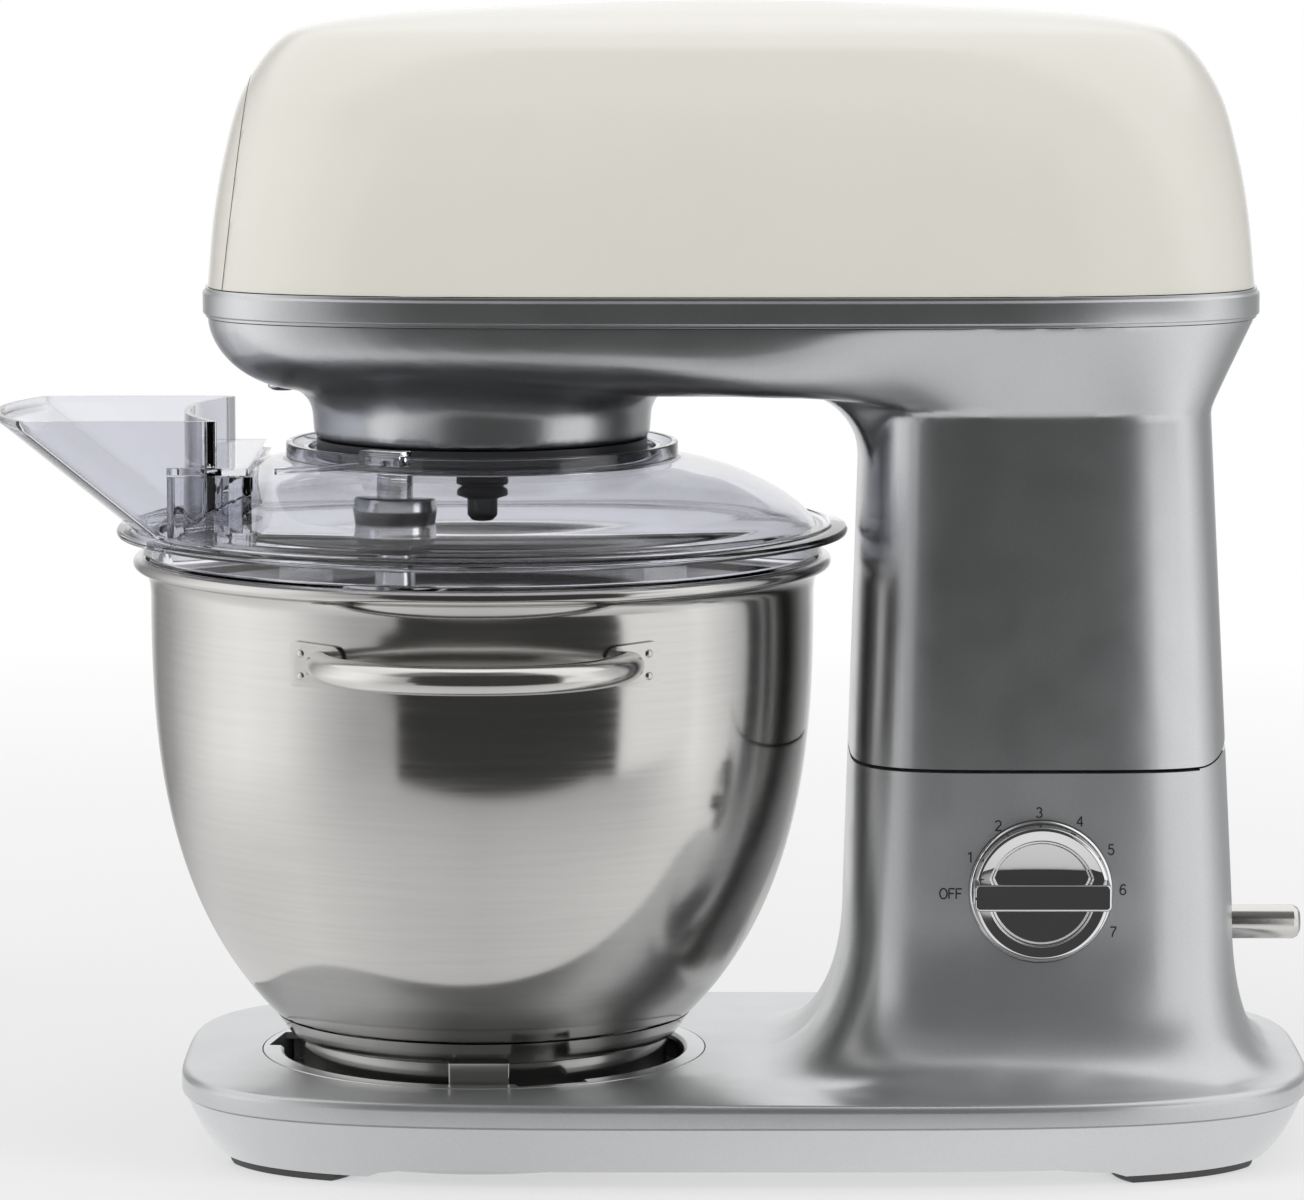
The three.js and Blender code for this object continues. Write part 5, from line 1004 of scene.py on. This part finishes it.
class Nodes:
    """A short way to wire the nodes of a material or a world."""

    def __init__(self, name, world=False):
        self.material = (bpy.data.worlds if world else bpy.data.materials).new(name)
        self.material.use_nodes = True
        self.tree = self.material.node_tree
        self.shader = self.tree.nodes["Background" if world else "Principled BSDF"]
        self.place = self.add("ShaderNodeTexCoord").outputs["Generated" if world else "Object"]

    def add(self, kind, **settings):
        node = self.tree.nodes.new(kind)
        for key, value in settings.items():
            if key[0].isupper():
                node.inputs[key.replace("_", " ")].default_value = value
            else:
                setattr(node, key, value)
        return node

    def link(self, a, b):
        self.tree.links.new(a, b)

    def set(self, **values):
        for key, value in values.items():
            self.shader.inputs[key.replace("_", " ")].default_value = value

    def surface(self, color, roughness):
        self.link(color, self.shader.inputs["Base Color"])
        self.link(roughness, self.shader.inputs["Roughness"])

    def output(self, shader):
        self.link(shader, self.tree.nodes["Material Output"].inputs["Surface"])

    def noise(self, scale, detail, place=None, rough=0.5):
        noise = self.add("ShaderNodeTexNoise", Scale=scale, Detail=detail, Roughness=rough)
        self.link(place or self.place, noise.inputs["Vector"])
        return noise.outputs["Fac"]

    def split(self):
        split = self.add("ShaderNodeSeparateXYZ")
        self.link(self.place, split.inputs["Vector"])
        return split.outputs

    def ramp(self, value, low, high, start=0.3, end=0.7):
        ends = {"From_Min": start, "From_Max": end, "To_Min": low, "To_Max": high}
        ramp = self.add("ShaderNodeMapRange", **ends)
        self.link(value, ramp.inputs["Value"])
        return ramp.outputs["Result"]

    def mix(self, value, dark, light, start=0.3, end=0.7):
        ramp = self.add("ShaderNodeValToRGB")
        for element, at, color in zip(ramp.color_ramp.elements, (start, end), (dark, light)):
            element.position = at
            element.color = (*color, 1)
        self.link(value, ramp.inputs["Fac"])
        return ramp.outputs["Color"]

    def math(self, operation, first, second=None):
        node = self.add("ShaderNodeMath", operation=operation)
        for socket, value in zip(node.inputs, (first, second)):
            if isinstance(value, (int, float)):
                socket.default_value = value
            elif value is not None:
                self.link(value, socket)
        return node.outputs["Value"]

    def length(self, vector):
        node = self.add("ShaderNodeVectorMath", operation="LENGTH")
        self.link(vector, node.inputs[0])
        return node.outputs["Value"]

    def blend(self, share, first, second):
        more = self.math("MULTIPLY", share, self.math("SUBTRACT", second, first))
        return self.math("ADD", first, more)

    def steps(self, value, stops):
        """Levels at steps along a value, with straight runs between them."""
        low, high = stops[0][0], stops[-1][0]
        ramp = self.add("ShaderNodeValToRGB")
        while len(ramp.color_ramp.elements) < len(stops):
            ramp.color_ramp.elements.new(1.0)
        for element, (at, level) in zip(ramp.color_ramp.elements, stops):
            element.position = (at - low) / (high - low)
            element.color = (*[level / BRIGHTEST] * 3, 1)
        along = self.math("DIVIDE", self.math("SUBTRACT", value, low), high - low)
        self.link(along, ramp.inputs["Fac"])
        return self.math("MULTIPLY", ramp.outputs["Color"], BRIGHTEST)

    def around(self, stops):
        """Levels by direction about the upright axis, in degrees: 0 is towards -Y."""
        x, y, _ = self.split()
        bearing = self.math("ARCTAN2", x, self.math("MULTIPLY", y, -1))
        return self.steps(self.math("MULTIPLY", bearing, 360 / TURN), stops)

    def bump(self, value, strength, distance):
        bump = self.add("ShaderNodeBump", Strength=strength, Distance=distance * MM)
        self.link(value, bump.inputs["Height"])
        self.link(bump.outputs["Normal"], self.shader.inputs["Normal"])

    def turned(self, scale):
        """Noise drawn out round the object's upright axis, as from turning or buffing."""
        x, y, z = self.split()
        level = self.add("ShaderNodeCombineXYZ")
        self.link(x, level.inputs["X"])
        self.link(y, level.inputs["Y"])
        drawn = self.add("ShaderNodeCombineXYZ")
        self.link(self.math("MULTIPLY", self.math("ARCTAN2", y, x), 0.004), drawn.inputs["X"])
        self.link(self.length(level.outputs["Vector"]), drawn.inputs["Y"])
        self.link(z, drawn.inputs["Z"])
        return self.noise(scale, 4, drawn.outputs["Vector"], 0.6)


def shade(color, factor, lift=0):
    return tuple(min(1, c * factor + lift) for c in color)


def silver_paint(name, color, metallic):
    n = Nodes(name)
    n.set(Metallic=metallic, Coat_Weight=0.2, Coat_Roughness=0.12)
    flakes = n.mix(n.noise(5200, 1), shade(color, 0.93), shade(color, 1.07), 0.35, 0.65)
    n.surface(flakes, n.ramp(n.noise(60, 3), 0.28, 0.33))
    n.bump(n.noise(900, 2), 0.04, 0.02)
    return n.material


def gloss_paint(name, color):
    n = Nodes(name)
    n.set(Coat_Weight=0.5, Coat_Roughness=0.12, Specular_IOR_Level=0.5)
    cloud = n.mix(n.noise(24, 3), shade(color, 0.985), color, 0.35, 0.65)
    n.surface(cloud, n.ramp(n.noise(45, 3), 0.16, 0.21))
    n.bump(n.noise(420, 2), 0.05, 0.02)
    return n.material


def turned_steel(name, color, roughness):
    n = Nodes(name)
    n.set(Metallic=1.0, Anisotropic=0.2)
    lines = n.turned(500)
    n.surface(n.mix(lines, shade(color, 0.94), color),
              n.ramp(lines, roughness * 0.85, roughness * 1.2))
    n.bump(lines, 0.02, 0.01)
    tangent = n.add("ShaderNodeTangent", direction_type="RADIAL", axis="Z")
    n.link(tangent.outputs["Tangent"], n.shader.inputs["Tangent"])
    return n.material


def plain_metal(name, color, roughness, wear=0.04, grain=240):
    n = Nodes(name)
    n.set(Metallic=1.0)
    cloud = n.noise(grain, 4)
    n.surface(n.mix(cloud, shade(color, 1 - 2 * wear), color),
              n.ramp(cloud, roughness * 0.8, roughness * 1.25))
    n.bump(n.noise(grain * 6, 2), 0.05, 0.01)
    return n.material


def moulding(name, color, roughness, grain=1500, depth=0.15):
    n = Nodes(name)
    n.set(Specular_IOR_Level=0.45)
    cloud = n.noise(80, 3)
    n.surface(n.mix(cloud, color, shade(color, 1.12, 0.004)),
              n.ramp(cloud, roughness - 0.04, roughness + 0.04))
    n.bump(n.noise(grain, 2), depth, 0.03)
    return n.material


def clear_plastic(name, color):
    n = Nodes(name)
    n.set(Transmission_Weight=1.0, IOR=1.45, Specular_IOR_Level=0.5)
    n.surface(n.mix(n.noise(18, 2), shade(color, 0.985), color),
              n.ramp(n.noise(30, 2), 0.015, 0.035))
    n.bump(n.noise(35, 1), 0.05, 0.05)
    return n.material


def striped(name, dark, light, scale, roughness):
    n = Nodes(name)
    n.set(Metallic=0.9)
    wave = n.add("ShaderNodeTexWave", Scale=scale, Distortion=0.2, bands_direction="X")
    n.link(n.place, wave.inputs["Vector"])
    n.surface(n.mix(wave.outputs["Fac"], dark, light, 0.2, 0.8),
              n.ramp(n.noise(200, 2), roughness - 0.05, roughness + 0.08))
    n.bump(wave.outputs["Fac"], 0.3, 0.1)
    return n.material


def circuit_board(name):
    n = Nodes(name)
    tracks = n.add("ShaderNodeTexVoronoi", Scale=160.0, distance="MANHATTAN", feature="F1")
    n.link(n.place, tracks.inputs["Vector"])
    near = tracks.outputs["Distance"]
    n.surface(n.mix(near, (0.03, 0.16, 0.06), (0.06, 0.26, 0.1), 0.3, 0.5), n.ramp(near, 0.3, 0.6))
    n.bump(near, 0.2, 0.1)
    return n.material


FINISH = {
    "silver_paint": silver_paint("silver paint", (0.56, 0.57, 0.58), 0.96),
    "silver_plastic": silver_paint("silver moulding", (0.6, 0.61, 0.62), 0.85),
    "cream_gloss": gloss_paint("cream gloss", (0.765, 0.745, 0.675)),
    "bright_trim": silver_paint("bright trim", (0.56, 0.57, 0.58), 0.95),
    "steel": turned_steel("polished steel", (0.58, 0.57, 0.555), 0.13),
    "machined_steel": plain_metal("machined steel", (0.56, 0.56, 0.55), 0.21),
    "chrome": plain_metal("chrome", (0.80, 0.80, 0.80), 0.05, 0.01, 60),
    "clear_plastic": clear_plastic("clear plastic", (0.80, 0.805, 0.845)),
    "aluminium": plain_metal("cast aluminium", (0.62, 0.62, 0.63), 0.4, 0.05, 500),
    "dark_plastic": moulding("dark plastic", (0.025, 0.026, 0.028), 0.35),
    "grey_seal": moulding("grey moulding", (0.10, 0.10, 0.105), 0.45),
    "rubber": moulding("rubber", (0.07, 0.07, 0.072), 0.7, 2200, 0.3),
    "nylon": moulding("nylon", (0.72, 0.70, 0.64), 0.45, 900, 0.1),
    "brass": plain_metal("brass", (0.66, 0.50, 0.24), 0.3, 0.05, 300),
    "laminations": striped("laminations", (0.24, 0.24, 0.25), (0.42, 0.42, 0.43), 260, 0.4),
    "copper": striped("copper winding", (0.42, 0.18, 0.08), (0.72, 0.34, 0.16), 300, 0.35),
    "board": circuit_board("circuit board"),
}
SATIN_PAINT = silver_paint("satin silver paint", (0.54, 0.55, 0.56), 0.79)
SATIN_STEEL = plain_metal("satin steel", (0.62, 0.61, 0.59), 0.16, 0.01, 1500)
INK = moulding("printed ink", (0.02, 0.02, 0.021), 0.6)

slots = {part["node"]: part["material_slot"] for part in frame["record"]["subparts"]}
for node in frame["nodes"].values():
    for place in node.material_slots:
        place.material = FINISH[slots[node["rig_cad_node"]]]


def show(obj, body, slot, *nodes, finish=None):
    """Hands a finished piece its material and its body, and hides the CAD nodes it stands for."""
    obj.data.materials.clear()
    obj.data.materials.append(finish or FINISH[slot])
    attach(obj, body)
    if nodes:
        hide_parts(*nodes)
    return obj


# ---- the machine

show(arm_casting(), "head", "silver_paint", "arm_casting")
show(base_casting(), "base", "silver_paint", "base_casting", finish=SATIN_PAINT)
show(base_tray(), "base", "silver_plastic", "base_tray")
for i, (x, y, pad, *_) in enumerate(LEGS, 1):
    show(corner_pad(i, x, y, pad), "base", "rubber", f"foot_{i}")
show(centre_foot(), "base", "silver_plastic", "centre_foot")
show(cord_gland(), "base", "rubber", "cord_gland")
show(lock_ring(), "base", "silver_plastic", "bowl_lock_ring")

cover = cover_shell()
cap = add_object("front_cap_shell", cover.data.copy())
cut(cover, ahead_of_seam(SEAM_HALF))
combine(cap, "INTERSECT", ahead_of_seam(-SEAM_HALF))
show(finish_shading(cover, 40), "head", "cream_gloss", "top_cover")
show(finish_shading(cap, 40), "head", "cream_gloss", "front_cap")
show(band_shape(), "head", "bright_trim", "trim_band")
show(underside_fitting(), "head", "chrome", "underside_fitting")
show(mount_ring(), "head", "dark_plastic", "lid_mount_ring")
show(splash_lid(), "head", "clear_plastic", "splash_lid")
show(feed_chute(), "head", "clear_plastic", "feed_chute")
show(chute_clip(1, "chute_clip_near_hook"), "head", "clear_plastic", "chute_clip_near")
show(chute_clip(-1, "chute_clip_far_hook"), "head", "clear_plastic", "chute_clip_far")
show(planet_carrier(), "carrier", "dark_plastic", "planet_carrier")
show(tool_coupling(), "beater", "machined_steel", "tool_coupling")
show(dough_hook(), "beater", "machined_steel", "dough_hook")

show(bowl_shape(), "bowl", "steel", "bowl")
show(bowl_foot(), "bowl", "steel", "bowl_foot")
show(handle_tube(), "bowl", "chrome", "bowl_handle", finish=SATIN_STEEL)
show(handle_bracket(-1, "handle_bracket_left_plate"), "bowl", "steel", "handle_bracket_left")
show(handle_bracket(1, "handle_bracket_right_plate"), "bowl", "steel", "handle_bracket_right")

show(dial_bezel(), "base", "chrome", "dial_bezel")
show(dial_knob(), "dial", "chrome", "dial_knob")
show(lever_rod(), "lever", "machined_steel", "release_lever", finish=SATIN_STEEL)
MARKS = [
    ("OFF", 153.7, 90.2), ("1", 159.9, 102.3), ("2", 168.9, 112.7), ("3", 182.2, 117.0),
    ("4", 195.5, 114.2), ("5", 205.7, 104.8), ("6", 209.7, 91.6), ("7", 206.6, 77.7),
]
for text, x, z in MARKS:
    show(print_mark(f"dial_mark_{text}", text, x, z), "base", "dark_plastic", finish=INK)

# ---- floor, light, camera


def stage_plane(name, corners, material, reflect_only=False):
    mesh = bpy.data.meshes.new(name)
    mesh.from_pydata(corners, [], [(0, 1, 2, 3)])
    mesh.materials.append(material)
    obj = add_object(name, mesh)
    if reflect_only:
        obj.visible_camera = obj.visible_shadow = False
        obj.visible_diffuse = obj.visible_transmission = False


def floor_material():
    n = Nodes("pale floor")
    n.set(Roughness=0.9, Specular_IOR_Level=0.2)
    cloud = n.mix(n.noise(6, 2), (0.86, 0.86, 0.86), (0.88, 0.88, 0.88))
    n.link(cloud, n.shader.inputs["Base Color"])
    path, away = n.add("ShaderNodeLightPath").outputs, n.length(n.place)
    level = n.blend(n.ramp(away, 0, 1, 0.22, 0.6), n.around(NEAR_FLOOR), n.around(SURROUND))
    direct = n.math("MAXIMUM", path["Is Camera Ray"], path["Is Transmission Ray"])
    far = n.ramp(away, 0.5, 1.0, 0.35, 1.3)
    share = n.math("MAXIMUM", n.math("MULTIPLY", direct, far), path["Is Glossy Ray"])
    glow = n.add("ShaderNodeEmission", Color=(1, 1, 1, 1))
    n.link(n.blend(path["Is Glossy Ray"], 1.0, level), glow.inputs["Strength"])
    both = n.add("ShaderNodeMixShader")
    n.link(share, both.inputs["Fac"])
    n.link(n.shader.outputs["BSDF"], both.inputs[1])
    n.link(glow.outputs["Emission"], both.inputs[2])
    n.output(both.outputs["Shader"])
    return n.material


def card_material(name, level):
    n = Nodes(name)
    n.output(n.add("ShaderNodeEmission", Color=(level, level, level, 1)).outputs["Emission"])
    return n.material


def upright(x0, y0, high0, x1, y1, high1):
    return [(x0, y0, 0), (x1, y1, 0), (x1, y1, high1), (x0, y0, high0)]


dark_card = card_material("dark card", 0.055)
low_card = [(x, y, 0.002) for x, y in ((-0.5, -1), (0.34, -1), (0.3, -0.38), (-0.2, -0.42))]
stage_plane("floor", [(-30, -30, 0), (30, -30, 0), (30, 30, 0), (-30, 30, 0)], floor_material())
stage_plane("card_front", upright(-0.64, -1, 1.1, 0.34, -0.35, 0.5), dark_card, True)
stage_plane("card_low", low_card, dark_card, True)
stage_plane("card_right", upright(0.35, -0.35, 0.23, 0.62, -0.19, 0.23),
            card_material("bright card", 1.15), True)


def studio():
    n = Nodes("studio", world=True)
    _, _, z = n.split()
    height = n.math("MULTIPLY", n.math("ARCSINE", z), 360 / TURN)
    raised = n.steps(height, [(-90, 0), (24, 0), (34, 1), (90, 1)])
    top = n.steps(height, [(-90, 0), (78, 0), (86, 1), (90, 1)])
    mirrored = n.blend(top, n.blend(raised, n.around(SURROUND), n.around(OVERHEAD)), 1.4)
    path = n.add("ShaderNodeLightPath").outputs
    through = n.blend(n.steps(height, [(-90, 0), (20, 0), (40, 1), (90, 1)]), 1.0, 0.3)
    soft = n.blend(path["Is Glossy Ray"], 0.62, mirrored)
    soft = n.blend(path["Is Transmission Ray"], soft, through)
    n.link(n.blend(path["Is Camera Ray"], soft, 1.0), n.shader.inputs["Strength"])
    n.shader.inputs["Color"].default_value = (1, 1, 1, 1)
    return n.material


bpy.context.scene.world = studio()


def softbox(name, place, target, size, power):
    light = bpy.data.lights.new(name, "AREA")
    light.shape = "RECTANGLE"
    light.size, light.size_y = size
    light.energy = power
    lamp = add_object(name, light)
    lamp.location = place
    lamp.rotation_euler = (Vector(target) - Vector(place)).to_track_quat("-Z", "Y").to_euler()
    lamp.visible_glossy = False


softbox("left_softbox", (-1.5, -0.9, 0.9), (0.05, 0, 0.2), (0.7, 1.3), 9)
softbox("right_softbox", (1.7, -0.8, 0.9), (0.1, 0, 0.2), (0.6, 1.3), 8)
softbox("top_softbox", (0.05, -0.2, 1.7), (0.08, 0, 0.2), (1.6, 1.2), 4)

camera = bpy.data.cameras.new("camera")
camera.sensor_width = 36.0
camera.lens = 173.57
eye = add_object("camera", camera)
eye.location = (0.0563, -2.0767, 0.4295)
eye.rotation_euler = (math.radians(90 - 6.85), 0, 0)
bpy.context.scene.camera = eye
bpy.context.scene.view_settings.view_transform = "Standard"
